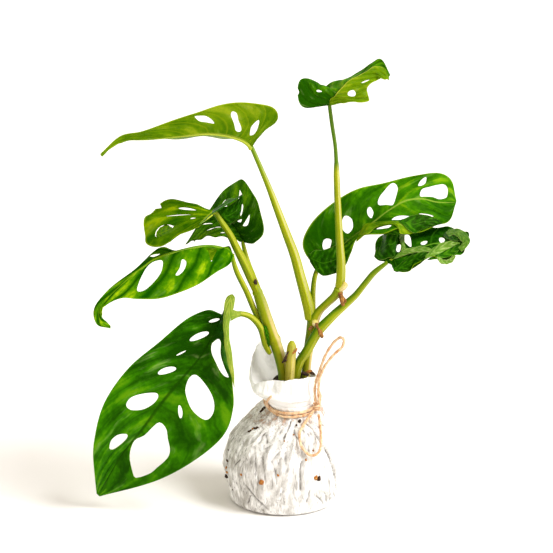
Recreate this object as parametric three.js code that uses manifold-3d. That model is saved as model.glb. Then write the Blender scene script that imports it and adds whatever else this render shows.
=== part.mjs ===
// A young swiss cheese vine whose root ball is wrapped in white tissue and tied with jute twine.
// Millimetres. +X is to the right, +Y is away from the viewer and +Z is up.
// The origin is the middle of the flat base that the wrapped root ball stands on.
import * as THREE from 'three';
import { mergeVertices } from 'three/addons/utils/BufferGeometryUtils.js';
import Module from 'manifold-3d';

const wasm = await Module();
wasm.setup();

// Driving dimensions
const BLADE_THICKNESS = 0.8;
const END_BLEND = 0.1;
const HOLE_CUTTER_DEPTH = 2.4;
const SMALL_HOLE = 0.25;
const NORMAL_STEP = 0.01;
const CLEARANCE = 0.3;
const STALK_SIDES = 8;
const STALK_STEPS = 10;
const AERIAL_ROOT_STEPS = 4;
const WELD_DISTANCE = 0.001;
const SIMPLIFY_TOLERANCE = 0.01;

const TISSUE_THICKNESS = 1;
const WRAP_SEGMENTS = 48;
const SOIL_SEGMENTS = 24;
const SOIL_GAP = 0.45;
const FINE_FOLDS = { count: 12, height: 0.7, turn: 0 };
const BROAD_FOLDS = { count: 5, height: 0.3, turn: 1 };
const NECK = { x: 7, z: 71.5, radius: 17.4, tilt: 0.32, groove: 2 };
// Levels of the tissue from its flat base to its open rim. tilt lowers the front, and pleat is how
// high the folds stand.
const WRAP_LEVELS = [
  { z: 0, radius: 31, x: 1.5, tilt: 0, pleat: 0 },
  { z: 3.5, radius: 36.5, x: 1.5, tilt: 0, pleat: 0.6 },
  { z: 12, radius: 39.5, x: 1.5, tilt: 0, pleat: 1 },
  { z: 28, radius: 40.5, x: 0, tilt: 0, pleat: 1.2 },
  { z: 40, radius: 38, x: 0.8, tilt: 0, pleat: 1.4 },
  { z: 50, radius: 33, x: 2, tilt: 0.05, pleat: 1.5 },
  { z: 59, radius: 26.5, x: 4, tilt: 0.15, pleat: 1.3 },
  { z: 65.5, radius: 20.5, x: 6, tilt: 0.27, pleat: 0.8 },
  { z: NECK.z - NECK.groove, radius: NECK.radius, x: NECK.x, tilt: NECK.tilt, pleat: 0.2 },
  { z: NECK.z + NECK.groove, radius: NECK.radius, x: NECK.x, tilt: NECK.tilt, pleat: 0.2 },
  { z: 78, radius: 20, x: 4.6, tilt: 0.34, pleat: 0.7 },
  { z: 85, radius: 22.2, x: 2, tilt: 0.4, pleat: 1.2 },
  { z: 93, radius: 21.5, x: 1.2, tilt: 0.48, pleat: 1.6 },
];
const NECK_LEVELS = 10;
const SOIL_TOP = { z: 83.5, radius: 13.8, x: 7.7, tilt: 0.12, pleat: 0 };
const SOIL_CROWN = 1;

const TWINE_DIAMETER = 2;
const TIE_HEIGHT = 3.6;
const TIE_SEGMENTS = 32;
const TIE_SIDES = 8;
const LOOP_STEPS = 22;

// Colours, taken as plain descriptions of each surface
const LEAF_FINISH = { color: 0x2f6b1a, roughness: 0.35, metalness: 0 };
const STALK_FINISH = { color: 0x9aa832, roughness: 0.45, metalness: 0 };
const VINE_FINISH = { color: 0xb0ad45, roughness: 0.5, metalness: 0 };
const ROOT_FINISH = { color: 0x8a5a3c, roughness: 0.8, metalness: 0 };
const TISSUE_FINISH = { color: 0xe6e4e0, roughness: 0.9, metalness: 0 };
const SOIL_FINISH = { color: 0x3a2a1f, roughness: 0.95, metalness: 0 };
const TWINE_FINISH = { color: 0xc98b4b, roughness: 0.85, metalness: 0 };

// Each leaf blade is lofted through stations from the stalk (first) to the tip (last). A station is
// [midrib, left margin, right margin], and where the blade arches between the midrib and a margin,
// [.., left bulge, right bulge] moves the halfway point. Holes are [across, along, half width across,
// half width along, turn in degrees], with across from -1 at the left margin to 1 at the right.
const LEAVES = [
  {
    name: 'leaf_low_left',
    cells: [16, 8],
    stations: [
      [[-39, -14, 133], [-39.7, -13.6, 133.6], [-38.8, -14.6, 133.8]],
      [[-41, -17, 129], [-49, -12, 136], [-37, -30, 145]],
      [[-47, -21, 118], [-62, -16, 132], [-38, -36, 131], [0, 0, 0], [4, 3, 1]],
      [[-56, -26, 105], [-80, -22, 118], [-36, -42, 118], [0, 0, 0], [6, 4, 1]],
      [[-67, -30, 93], [-101, -28, 101], [-33, -42, 99], [0, 0, 0], [4, 2, 0]],
      [[-79, -32, 79], [-117, -34, 79], [-32, -40, 77], [0, 0, 0], [3, 0, 0]],
      [[-93, -32, 60], [-124, -38, 54], [-42, -40, 54]],
      [[-108, -29, 40], [-125, -34, 32], [-78, -37, 28]],
      [[-124, -24, 11], [-125, -24, 12], [-123, -24, 10]],
    ],
    holes: [
      [-0.305, 0.142, 0.17, 0.021, -12],
      [-0.344, 0.272, 0.165, 0.026, -13],
      [-0.352, 0.471, 0.12, 0.021, -7],
      [-0.357, 0.624, 0.26, 0.036, -1],
      [-0.419, 0.784, 0.21, 0.033, 1],
      [0.386, 0.384, 0.355, 0.037, 19],
      [0.389, 0.586, 0.317, 0.057, 15],
      [0.283, 0.661, 0.072, 0.01, 20],
      [0.36, 0.812, 0.382, 0.07, 9],
    ],
  },
  {
    name: 'leaf_mid_left',
    cells: [16, 6],
    stations: [
      [[-33, -4, 173], [-33, -3, 173], [-32, -5, 171]],
      [[-37, -7, 177], [-36, 4, 176], [-35, -12, 167]],
      [[-45, -12, 180], [-46, 16, 174], [-43, -22, 164]],
      [[-54, -18, 181], [-57, 22, 172], [-53, -32, 159]],
      [[-64, -24, 180], [-69, 20, 173], [-66, -38, 154]],
      [[-74, -30, 178], [-78, 8, 175], [-79, -42, 151]],
      [[-85, -36, 174], [-86, -12, 174], [-93, -44, 151]],
      [[-96, -41, 166], [-96, -32, 168], [-103, -46, 152]],
      [[-109, -46, 155], [-112, -44, 156], [-113, -50, 148]],
      [[-117, -50, 146], [-120, -50, 147], [-115, -50, 143]],
      [[-116, -48, 136], [-119, -50, 136], [-115, -44, 138]],
      [[-111, -42, 132], [-111, -42, 131], [-111, -42, 133]],
    ],
    holes: [
      [0.457, 0.525, 0.344, 0.052, 2],
      [0.48, 0.364, 0.167, 0.022, 4],
      [0.311, 0.208, 0.241, 0.035, 0],
    ],
  },
  {
    name: 'leaf_top_left',
    cells: [16, 6],
    stations: [
      [[-20, 0, 243], [-19.7, -0.8, 243.6], [-19.6, 0.9, 243.2]],
      [[-21, -2, 245], [-15, -6, 250], [-16, 12, 246]],
      [[-23, -4, 247], [-9, -11, 258], [-9, 26, 248]],
      [[-26, -6, 249], [-3, -17, 265], [-12, 40, 250]],
      [[-31, -8, 251], [-7, -20, 272], [-19, 47, 251]],
      [[-39, -10, 253], [-22, -23, 275], [-32, 48, 251]],
      [[-50, -13, 254], [-40, -24, 273], [-48, 42, 252]],
      [[-62, -15, 253], [-58, -25, 268], [-63, 32, 253]],
      [[-75, -18, 252], [-76, -24, 261], [-77, 18, 252]],
      [[-88, -20, 251], [-90, -24, 257], [-91, 2, 252]],
      [[-102, -21, 250], [-104, -23, 253], [-104, -12, 251]],
      [[-117, -22, 241], [-117, -22, 242], [-116, -22, 240]],
    ],
    holes: [
      [-0.554, 0.576, 0.198, 0.026, -10],
      [-0.433, 0.431, 0.282, 0.02, -11],
      [-0.406, 0.304, 0.157, 0.03, -13],
    ],
  },
  {
    name: 'leaf_left_near',
    cells: [14, 6],
    stations: [
      [[-45, 0, 201], [-45.6, 0.8, 201], [-44.7, 0.9, 201.1]],
      [[-46, -8, 202], [-58, 8, 203], [-39.5, 7.5, 204]],
      [[-46, -15, 202], [-71, 14, 207], [-32, 12, 208]],
      [[-47, -22, 202], [-84, 6, 202], [-26, 4, 210]],
      [[-48, -29, 202], [-90, -6, 197], [-26, -8, 204]],
      [[-49, -36, 202], [-90, -20, 189], [-30, -20, 201]],
      [[-50, -43, 202], [-85, -32, 183], [-36, -32, 198]],
      [[-51, -50, 202], [-70, -44, 190], [-44, -44, 199]],
      [[-52, -58, 202], [-52, -58, 201], [-51, -58, 202]],
    ],
    holes: [
      [-0.49, 0.456, 0.245, 0.023, -5],
      [-0.461, 0.333, 0.164, 0.02, -4],
      [-0.675, 0.637, 0.161, 0.06, -7],
    ],
  },
  {
    name: 'leaf_left_far',
    cells: [12, 6],
    stations: [
      [[-26, 14, 177], [-27, 14, 177], [-26, 14, 177]],
      [[-28, 17, 181], [-31, 12, 179], [-19, 6, 178]],
      [[-31, 20, 185], [-36, 10, 181], [-13, 2, 185]],
      [[-35, 23, 189], [-43, 9, 182], [-14, 6, 199]],
      [[-41, 26, 191], [-49, 10, 182], [-19, 16, 209]],
      [[-48, 27, 190], [-55, 12, 180], [-27, 28, 218]],
      [[-54, 26, 188], [-59, 13, 178], [-37, 36, 211]],
      [[-59, 23, 183], [-60, 15.5, 178], [-51, 34, 195]],
      [[-65, 18.5, 175.5], [-65.5, 17.5, 175], [-64.5, 19.5, 176]],
    ],
    holes: [
      [0.73, 0.56, 0.08, 0.02, 9],
      [0.508, 0.453, 0.137, 0.016, 16],
      [0.519, 0.353, 0.209, 0.025, 14],
      [0.333, 0.623, 0.136, 0.045, 7],
    ],
  },
  {
    name: 'leaf_top_right',
    cells: [16, 6],
    stations: [
      [[31, 0, 271], [30, 0, 271], [32, 0, 271]],
      [[31, -2, 274], [14, -5, 270], [38, -9, 273]],
      [[32, -3, 276], [10, -1, 278], [44, -13, 274]],
      [[34, -4, 277], [12, 6, 287], [49, -15, 275]],
      [[36, -5, 280], [22, 12, 285], [56, -14, 275]],
      [[39, -5, 283], [26, 14, 280], [55, -12, 280]],
      [[43, -4, 287], [34, 12, 285], [55, -10, 283]],
      [[49, -3, 290], [43, 12, 288], [59, -8, 287]],
      [[55, -1, 293], [52, 11, 292], [63, -7, 289]],
      [[60, 1, 296], [58, 9, 298], [64, -9, 289]],
      [[66, 0, 295], [65, 6, 300], [67, -10, 289]],
      [[69, -7, 290], [70, -5, 291], [69, -9, 288]],
    ],
    holes: [
      [-0.408, 0.249, 0.07, 0.016, 5],
      [0.419, 0.399, 0.13, 0.05, 2],
      [0.658, 0.608, 0.1, 0.024, 15],
    ],
  },
  {
    name: 'leaf_right_far',
    cells: [16, 6],
    stations: [
      [[34.4, 23, 167], [34, 22.8, 165.6], [35, 22.8, 165.6]],
      [[35, 23, 169.4], [29.5, 18.5, 155], [39, 20.5, 155.5], [-2.6, 0, 0], [2.4, 0.6, 0]],
      [[36, 22, 170.4], [18, 14, 166], [44, 16, 161.5], [0, 0, 0], [0.6, 0, 0]],
      [[40, 19, 173], [14, 12, 178], [46, 12, 170]],
      [[46, 15, 179], [20, 12, 191], [50, 6, 180]],
      [[53, 12, 185], [34, 14, 204], [58, -2, 186]],
      [[62, 10, 192], [50, 16, 213], [69, -6, 187]],
      [[72, 9, 200], [69, 20, 217], [79, -4, 190]],
      [[82, 10, 206], [89, 22, 221], [91, 2, 186]],
      [[93, 13, 207], [106, 26, 223], [104, 8, 190]],
      [[105, 17, 204], [115, 28, 217], [113, 14, 192]],
      [[118, 22, 203], [118.3, 22.8, 204], [117.6, 21.4, 202]],
    ],
    holes: [
      [-0.396, 0.273, 0.15, 0.05, -12],
      [-0.367, 0.428, 0.2, 0.034, -6],
      [-0.26, 0.546, 0.14, 0.017, -2],
      [-0.525, 0.639, 0.33, 0.04, -3],
      [-0.702, 0.77, 0.144, 0.018, 0],
      [-0.367, 0.856, 0.31, 0.07, -3],
      [0.49, 0.673, 0.1, 0.05, 23],
      [0.6, 0.56, 0.15, 0.02, 12],
    ],
  },
  {
    name: 'leaf_right_near',
    cells: [14, 6],
    stations: [
      [[70, -8, 168], [69.3, -7.3, 168], [70, -8.8, 167.6]],
      [[72, -10, 170], [64, -2, 168], [72, -14, 167]],
      [[75, -11, 171], [62, 4, 170], [74, -18, 164]],
      [[80, -11, 173], [64, 12, 177], [83, -20, 165]],
      [[86, -10, 176], [72, 20, 183], [88, -22, 169]],
      [[92, -9, 178], [86, 24, 185], [92, -22, 174]],
      [[100, -8, 180], [101, 24, 187], [100, -22, 173]],
      [[107, -8, 181], [111, 18, 186], [107, -20, 170]],
      [[114, -8, 183], [118, 8, 187], [114, -18, 174]],
      [[121, -10, 185], [123, -2, 186], [119, -16, 176]],
      [[122, -13, 181.5], [123, -12, 182.5], [121.3, -14, 180.5]],
    ],
    holes: [
      [-0.424, 0.445, 0.293, 0.024, -5],
      [-0.333, 0.346, 0.122, 0.024, -13],
      [-0.183, 0.538, 0.104, 0.024, -3],
      [-0.197, 0.679, 0.2, 0.025, 1],
    ],
  },
];

// Stems and stalks are [x, y, z, radius] along their middle, from the bottom up. Those that stand
// in the soil start straight, this far down in the root ball.
const SOIL_DEPTH_Z = 62;
const STEMS = [
  {
    name: 'vine_stem_left',
    finish: VINE_FINISH,
    rows: [
      [2, 2, SOIL_DEPTH_Z, 3.4], [1.6, 2, 75, 3.5], [0.9, 2, 89.6, 3.7], [-2.3, 1.5, 103.8, 3.9],
      [-7.1, 1, 117.2, 4], [-11.2, 0, 129.3, 4], [-14.7, 0, 140.7, 3.7], [-17, 0, 148.5, 2.8],
    ],
  },
  {
    name: 'vine_stem_right',
    finish: VINE_FINISH,
    rows: [
      [15.8, 5, SOIL_DEPTH_Z, 2.7], [16.1, 5, 76, 2.8], [16.6, 4.8, 88.8, 2.9], [17.9, 4, 103.2, 3.2],
      [19.6, 2.8, 116, 3.4], [21.2, 2, 125, 3.8], [25, 2, 132, 2.8], [30, 1, 137.6, 2.6],
      [35, 0.4, 142.6, 2.8], [38, 0, 147, 3.1], [39.5, -0.5, 149.5, 1.8],
    ],
    steps: 20,
  },
  {
    name: 'young_shoot',
    finish: VINE_FINISH,
    rows: [
      [4.2, -6, SOIL_DEPTH_Z, 2.7], [4.6, -6, 78, 2.8], [5.2, -6, 91.9, 3], [5.7, -6, 101.6, 3.1],
      [6.4, -6, 110, 2.8], [6.8, -6, 113.6, 1.2],
    ],
  },
];

// A stalk is trimmed clear of the stem that its base hugs and of the blade that it carries.
const STALKS = [
  {
    name: 'stalk_low_left',
    stem: 'vine_stem_left',
    leaf: 'leaf_low_left',
    rows: [
      [-6.2, -2.2, 102.4, 1.6], [-11, -4.4, 110, 2], [-16.4, -6, 122.5, 1.9], [-21.4, -8, 129.2, 1.8],
      [-27.7, -11, 133.3, 1.7], [-33.3, -13, 133.1, 1.6], [-38.2, -13.9, 132.9, 1.3],
    ],
  },
  {
    name: 'stalk_mid_left',
    stem: 'vine_stem_left',
    leaf: 'leaf_mid_left',
    rows: [
      [-9, 1.6, 107, 1.3], [-14, 1.6, 122, 1.8], [-19.4, 0, 135.1, 1.9], [-24, -2, 147, 1.9],
      [-29.4, -3, 158.4, 1.8], [-31.6, -3.6, 164.6, 1.6], [-32.8, -4, 169.8, 1.3],
    ],
  },
  {
    name: 'stalk_left_near',
    stem: 'vine_stem_left',
    leaf: 'leaf_left_near',
    rows: [
      [-16.4, -0.4, 146, 2.4], [-19.8, -0.6, 153.4, 2.7], [-25.4, -0.6, 165.7, 2.7], [-30.1, 0, 174.8, 2.5],
      [-34.7, 0, 184.4, 2.2], [-40.9, 0, 194.2, 1.9], [-44.6, 0, 200.3, 1.5],
    ],
  },
  {
    name: 'stalk_left_far',
    stem: 'vine_stem_left',
    leaf: 'leaf_left_far',
    rows: [
      [-15.4, 4.2, 141, 1.3], [-17.6, 5.4, 149, 1.6], [-19.6, 6.4, 156, 1.7], [-22.3, 8.5, 162.8, 1.6],
      [-24.6, 11.5, 169.6, 1.5], [-26.3, 13.6, 176.2, 1.3],
    ],
  },
  {
    name: 'stalk_top_left',
    stem: 'vine_stem_right',
    leaf: 'leaf_top_left',
    rows: [
      [18.6, 2, 125.4, 3], [17.6, 2, 134.5, 3.5], [14.5, 2, 146.8, 3.4], [11.7, 2, 157.1, 3.2],
      [8, 2, 170.8, 3], [3, 1, 184.6, 2.7], [-4.4, 0, 205, 2.3], [-8.7, 0, 216.4, 1.9],
      [-13.9, 0, 229, 1.6], [-19.7, -0.1, 242.5, 1.4],
    ],
    steps: 16,
  },
  {
    name: 'stalk_top_right',
    stem: 'vine_stem_right',
    leaf: 'leaf_top_right',
    rows: [
      [38.2, 0, 148, 2.8], [39.1, 0, 155.5, 2.9], [39.2, 0, 166.4, 2.7], [38.1, 0, 181.4, 2.4],
      [36.5, 0, 209.7, 1.8], [35.6, 0, 229.7, 1.4], [34.8, 0, 244.9, 1.3], [32.7, 0, 258.1, 1.3],
      [31, 0, 270.1, 1.2],
    ],
    steps: 16,
  },
  {
    name: 'stalk_right_far',
    stem: 'vine_stem_right',
    leaf: 'leaf_right_far',
    rows: [
      [21.4, 6, 122, 1.6], [20.9, 8.6, 134, 1.8], [21.1, 12, 144.6, 1.7], [22.5, 17, 153.2, 1.6],
      [25.3, 21, 158.9, 1.5], [29.2, 24.4, 162, 1.4], [32.8, 24.5, 164.9, 1.2],
    ],
  },
  {
    name: 'stalk_right_near',
    leaf: 'leaf_right_near',
    rows: [
      [8.8, -2, SOIL_DEPTH_Z, 2.4], [8.9, -2, 78, 2.6], [9.7, -2.5, 90.2, 2.7], [12.2, -3.5, 99.2, 2.8],
      [16.5, -5, 106.3, 3], [24, -5.6, 120, 3.1], [32.8, -4, 129.3, 2.9], [41.4, -2, 136.8, 2.6],
      [49.1, -2, 144, 2.2], [55.2, -3, 152.1, 2], [61.1, -5, 160, 1.9], [68.3, -7.9, 166.7, 1.4],
    ],
    steps: 18,
  },
];

// Short brown aerial roots at the joints of the right-hand vine
const AERIAL_ROOTS = [
  { name: 'aerial_root_upper', rows: [[37.2, -2, 146, 1.7], [39, -5, 142, 1.6], [41.1, -6.6, 137.4, 1.2]] },
  { name: 'aerial_root_lower', rows: [[23, 0.6, 125, 1.4], [25.4, 0, 122.4, 1.3], [27.8, -0.6, 120, 1]] },
];

// The tie's knot, and the two free loops that leave it and come back
const KNOT = { at: [23.4, -12.8, 69.6], size: [3, 2.6, 3.4], segments: [10, 7] };
const LOOPS = [
  {
    name: 'twine_loop_upper',
    path: [
      [22.6, -14.6, 73.1], [21.9, -15.4, 81.3], [22.8, -15, 88.1], [25.4, -13.5, 95.4], [28.1, -12, 102.9],
      [31.4, -11, 109.2], [35.2, -10.5, 114.3], [39, -11.5, 117.3], [41.3, -13, 115.6], [40, -14.5, 111.5],
      [35, -15.5, 107], [30.3, -16.3, 101.5], [27.2, -17, 96.3], [25, -17.6, 90.3], [24.4, -17.4, 82.1],
      [24.9, -15, 72.8],
    ],
  },
  {
    name: 'twine_loop_lower',
    path: [
      [21.2, -16.2, 68], [18.6, -20.6, 65.3], [15, -24.8, 61.6], [11.6, -29.6, 55.6], [13.2, -35.6, 48.4],
      [19.1, -37.4, 43.6], [24.5, -35.4, 45.4], [25.9, -29.4, 52.5], [25.2, -22.8, 61.7], [24.6, -16.8, 65.6],
    ],
  },
];

// The closed mesh of a geometry as a solid that can be cut and joined.
function toSolid(geometry) {
  const plain = geometry.clone();
  plain.deleteAttribute('normal');
  plain.deleteAttribute('uv');
  const merged = mergeVertices(plain, WELD_DISTANCE);
  const index = merged.index.array;
  const triVerts = [];
  for (let i = 0; i < index.length; i += 3) {
    const [a, b, c] = [index[i], index[i + 1], index[i + 2]];
    if (a !== b && b !== c && c !== a) triVerts.push(a, b, c);
  }
  return new wasm.Manifold(new wasm.Mesh({
    numProp: 3,
    vertProperties: merged.attributes.position.array,
    triVerts: new Uint32Array(triVerts),
  }));
}

// The largest body of a solid as a flat-shaded geometry, without the scraps that a cut can leave.
function toGeometry(solid) {
  const bodies = solid.decompose();
  bodies.sort((a, b) => b.volume() - a.volume());
  const mesh = bodies[0].simplify(SIMPLIFY_TOLERANCE).getMesh();
  const geometry = new THREE.BufferGeometry();
  geometry.setAttribute('position', new THREE.BufferAttribute(mesh.vertProperties, 3));
  geometry.setIndex(new THREE.BufferAttribute(mesh.triVerts, 1));
  const flat = geometry.toNonIndexed();
  flat.computeVertexNormals();
  return flat;
}

// A smooth curve through points given as [x, y, z].
function curveThrough(points) {
  const vectors = points.map((p) => new THREE.Vector3(p[0], p[1], p[2]));
  return new THREE.CatmullRomCurve3(vectors, false, 'catmullrom', 0.5);
}

// The leaf's middle surface: place(across, along) gives the point and unit normal there.
function leafSurface(leaf) {
  const none = [0, 0, 0];
  const midrib = curveThrough(leaf.stations.map((row) => row[0]));
  const sides = [1, 2].map((side) => {
    const margin = curveThrough(leaf.stations.map((row) => row[side]));
    const halfway = leaf.stations.map((row) => {
      const bulge = row[side + 2] ?? none;
      return bulge.map((offset, axis) => (row[0][axis] + row[side][axis]) / 2 + offset);
    });
    return { margin, halfway: curveThrough(halfway) };
  });
  const point = (across, along) => {
    const side = across < 0 ? sides[0] : sides[1];
    const start = midrib.getPoint(along);
    const end = side.margin.getPoint(along);
    const control = side.halfway.getPoint(along).multiplyScalar(2);
    control.sub(start.clone().add(end).multiplyScalar(0.5));
    return new THREE.QuadraticBezierCurve3(start, control, end).getPoint(Math.abs(across));
  };
  const normalAt = (across, along) => {
    const low = Math.max(along - NORMAL_STEP, 0);
    const high = Math.min(along + NORMAL_STEP, 1);
    const left = Math.max(across - NORMAL_STEP, -1);
    const right = Math.min(across + NORMAL_STEP, 1);
    const over = point(right, along).sub(point(left, along));
    const up = point(across, high).sub(point(across, low));
    return over.cross(up).normalize();
  };
  // Near the narrow ends the whole station shares one normal, so that the two faces stay apart.
  const shared = (along) => {
    const sum = new THREE.Vector3();
    const station = THREE.MathUtils.clamp(along, NORMAL_STEP, 1 - NORMAL_STEP);
    for (const across of [-0.8, -0.4, 0, 0.4, 0.8]) sum.add(normalAt(across, station));
    return sum.normalize();
  };
  return (across, along) => {
    const fromEnd = THREE.MathUtils.smoothstep(Math.min(along, 1 - along), 0, END_BLEND);
    const normal = normalAt(across, along);
    if (fromEnd < 1) normal.lerp(shared(along), 1 - fromEnd).normalize();
    return { position: point(across, along), normal };
  };
}

// Moves a geometry's vertices from (across, along, height) to the leaf's surface.
function layOnLeaf(geometry, place) {
  const position = geometry.attributes.position;
  for (let i = 0; i < position.count; i += 1) {
    const across = THREE.MathUtils.clamp(position.getX(i), -1, 1);
    const along = THREE.MathUtils.clamp(position.getY(i), 0, 1);
    const spot = place(across, along);
    const vertex = spot.position.addScaledVector(spot.normal, position.getZ(i));
    position.setXYZ(i, vertex.x, vertex.y, vertex.z);
  }
  return geometry;
}

// A closed skin of two like-triangulated faces, this thick, joined by walls round the edge.
function bladeBlank(leaf, place, thickness) {
  const [rows, columns] = leaf.cells;
  const grid = new THREE.PlaneGeometry(2, 1, columns, rows);
  grid.translate(0, 0.5, 0);
  const flat = grid.attributes.position;
  const count = flat.count;
  const positions = new Float32Array(count * 6);
  for (const [skin, height] of [[0, thickness / 2], [1, -thickness / 2]]) {
    for (let i = 0; i < count; i += 1) {
      positions.set([flat.getX(i), flat.getY(i), height], (skin * count + i) * 3);
    }
  }
  const faces = grid.index.array;
  const index = [];
  for (let i = 0; i < faces.length; i += 3) {
    const [a, b, c] = [faces[i], faces[i + 1], faces[i + 2]];
    index.push(a, b, c, c + count, b + count, a + count);
  }
  const rim = [];
  for (let i = 0; i < columns; i += 1) rim.push(rows * (columns + 1) + i);
  for (let i = rows; i > 0; i -= 1) rim.push(i * (columns + 1) + columns);
  for (let i = columns; i > 0; i -= 1) rim.push(i);
  for (let i = 0; i < rows; i += 1) rim.push(i * (columns + 1));
  rim.forEach((a, i) => {
    const b = rim[(i + 1) % rim.length];
    index.push(a, a + count, b + count, a, b + count, b);
  });
  const blank = new THREE.BufferGeometry();
  blank.setAttribute('position', new THREE.BufferAttribute(positions, 3));
  blank.setIndex(index);
  return toSolid(layOnLeaf(blank, place));
}

// A leaf blade with its holes cut through.
function leafBlade(leaf) {
  const place = leafSurface(leaf);
  let blade = bladeBlank(leaf, place, BLADE_THICKNESS);
  for (const [across, along, halfAcross, halfAlong, turn] of leaf.holes) {
    const outline = new THREE.Shape();
    const tilt = THREE.MathUtils.degToRad(turn);
    outline.absellipse(across, along, halfAcross, halfAlong, 0, 2 * Math.PI, false, tilt);
    const cutter = new THREE.ExtrudeGeometry(outline, {
      depth: HOLE_CUTTER_DEPTH,
      bevelEnabled: false,
      curveSegments: halfAcross < SMALL_HOLE ? 4 : 5,
    });
    cutter.translate(0, 0, -HOLE_CUTTER_DEPTH / 2);
    blade = blade.subtract(toSolid(layOnLeaf(cutter, place)));
  }
  return blade;
}

// A round stem along rows of [x, y, z, radius]. grow makes it that much fatter and longer below.
function stemSolid({ rows, steps = STALK_STEPS }, grow = 0) {
  const path = curveThrough(rows);
  const radii = curveThrough(rows.map((row) => [row[3], 0, 0]));
  const frames = path.computeFrenetFrames(steps, false);
  const stem = new THREE.CylinderGeometry(1, 1, 1, STALK_SIDES, steps, false);
  const position = stem.attributes.position;
  for (let i = 0; i < position.count; i += 1) {
    const step = Math.round((position.getY(i) + 0.5) * steps);
    const along = step / steps;
    const radius = radii.getPoint(along).x + grow;
    const vertex = path.getPoint(along);
    const spread = Math.hypot(position.getX(i), position.getZ(i));
    if (spread > 0) {
      vertex.addScaledVector(frames.binormals[step], position.getX(i) * radius);
      vertex.addScaledVector(frames.normals[step], position.getZ(i) * radius);
    }
    if (step === 0) vertex.addScaledVector(frames.tangents[0], -grow);
    if (step === steps) vertex.addScaledVector(frames.tangents[steps], grow);
    position.setXYZ(i, vertex.x, vertex.y, vertex.z);
  }
  return toSolid(stem);
}

// The folds of the tissue at an angle round it, from -1 to 1.
function pleatWave(angle) {
  let height = 0;
  for (const folds of [FINE_FOLDS, BROAD_FOLDS]) {
    height += folds.height * Math.sin(folds.count * angle + folds.turn);
  }
  return height;
}

// A point of the wrapped ball's outside at a level, moved in by inset.
function wrapPoint(level, angle, inset) {
  const radius = Math.max(level.radius + level.pleat * pleatWave(angle) - inset, 0);
  const y = radius * Math.sin(angle);
  return new THREE.Vector3(level.x + radius * Math.cos(angle), y, level.z + level.tilt * y);
}

// A turned solid through rings, each a level with an inset and a rise, closed on the axis at both ends.
function turnedSolid(rings, segments) {
  const outline = rings.map((ring, i) => new THREE.Vector2(ring.level ? 1 : 0, i));
  const solid = new THREE.LatheGeometry(outline, segments);
  const position = solid.attributes.position;
  for (let i = 0; i < position.count; i += 1) {
    const ring = rings[i % rings.length];
    const turn = Math.floor(i / rings.length) % segments;
    const angle = (2 * Math.PI * turn) / segments;
    const onAxis = new THREE.Vector3(ring.x, 0, ring.z);
    const vertex = ring.level ? wrapPoint(ring.level, angle, ring.inset) : onAxis;
    position.setXYZ(i, vertex.x, vertex.y, vertex.z + (ring.rise ?? 0));
  }
  return toSolid(solid);
}

// The tissue: a thin pleated bag with a flat base, drawn in at the neck, with an open flared collar.
function tissueWrap() {
  const base = WRAP_LEVELS[0];
  const outer = WRAP_LEVELS.map((level) => ({ level, inset: 0 }));
  const inner = WRAP_LEVELS.map((level, i) => ({
    level,
    inset: TISSUE_THICKNESS,
    rise: i === 0 ? TISSUE_THICKNESS : 0,
  })).reverse();
  const start = { x: base.x, z: 0 };
  const end = { x: base.x, z: TISSUE_THICKNESS };
  return turnedSolid([start, ...outer, ...inner, end], WRAP_SEGMENTS);
}

// The soil and roots that fill the tissue up to the collar, with a hole for each stem.
function rootBall(stems) {
  const inset = TISSUE_THICKNESS + SOIL_GAP;
  const base = WRAP_LEVELS[0];
  const filled = WRAP_LEVELS.slice(0, NECK_LEVELS).map((level, i) => ({
    level: { ...level, radius: level.radius - level.pleat, pleat: 0 },
    inset,
    rise: i === 0 ? inset : 0,
  }));
  const bottom = { x: base.x, z: inset };
  const top = { x: SOIL_TOP.x, z: SOIL_TOP.z + SOIL_CROWN };
  let soil = turnedSolid([bottom, ...filled, { level: SOIL_TOP, inset: 0 }, top], SOIL_SEGMENTS);
  for (const stem of stems) soil = soil.subtract(stemSolid(stem, CLEARANCE));
  return soil;
}

// The tie: a band of two turns side by side in the groove of the neck, and the knot that holds them.
function twineTie() {
  const radius = NECK.radius + 2 * CLEARANCE + TWINE_DIAMETER / 2;
  const band = new THREE.TorusGeometry(radius, TWINE_DIAMETER / 2, TIE_SIDES, TIE_SEGMENTS);
  band.scale(1, 1, TIE_HEIGHT / TWINE_DIAMETER);
  const position = band.attributes.position;
  for (let i = 0; i < position.count; i += 1) {
    const z = position.getZ(i) + NECK.z + NECK.tilt * position.getY(i);
    position.setXYZ(i, position.getX(i) + NECK.x, position.getY(i), z);
  }
  const knot = new THREE.SphereGeometry(1, ...KNOT.segments);
  knot.scale(...KNOT.size);
  knot.translate(...KNOT.at);
  return toSolid(band).add(toSolid(knot));
}

// A free loop of twine, a round section swept along its path.
function twineLoop(loop) {
  const section = new THREE.Shape().absarc(0, 0, TWINE_DIAMETER / 2, 0, 2 * Math.PI, false);
  const tube = new THREE.ExtrudeGeometry(section, {
    steps: LOOP_STEPS,
    curveSegments: 4,
    extrudePath: curveThrough(loop.path),
  });
  return toSolid(tube);
}

const plant = new THREE.Group();

// Adds one named piece to the plant.
function addPiece(name, solid, finish) {
  const mesh = new THREE.Mesh(toGeometry(solid), new THREE.MeshStandardMaterial(finish));
  mesh.name = name;
  plant.add(mesh);
}

for (const leaf of LEAVES) addPiece(leaf.name, leafBlade(leaf), LEAF_FINISH);

for (const stem of STEMS) addPiece(stem.name, stemSolid(stem), stem.finish);

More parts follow.
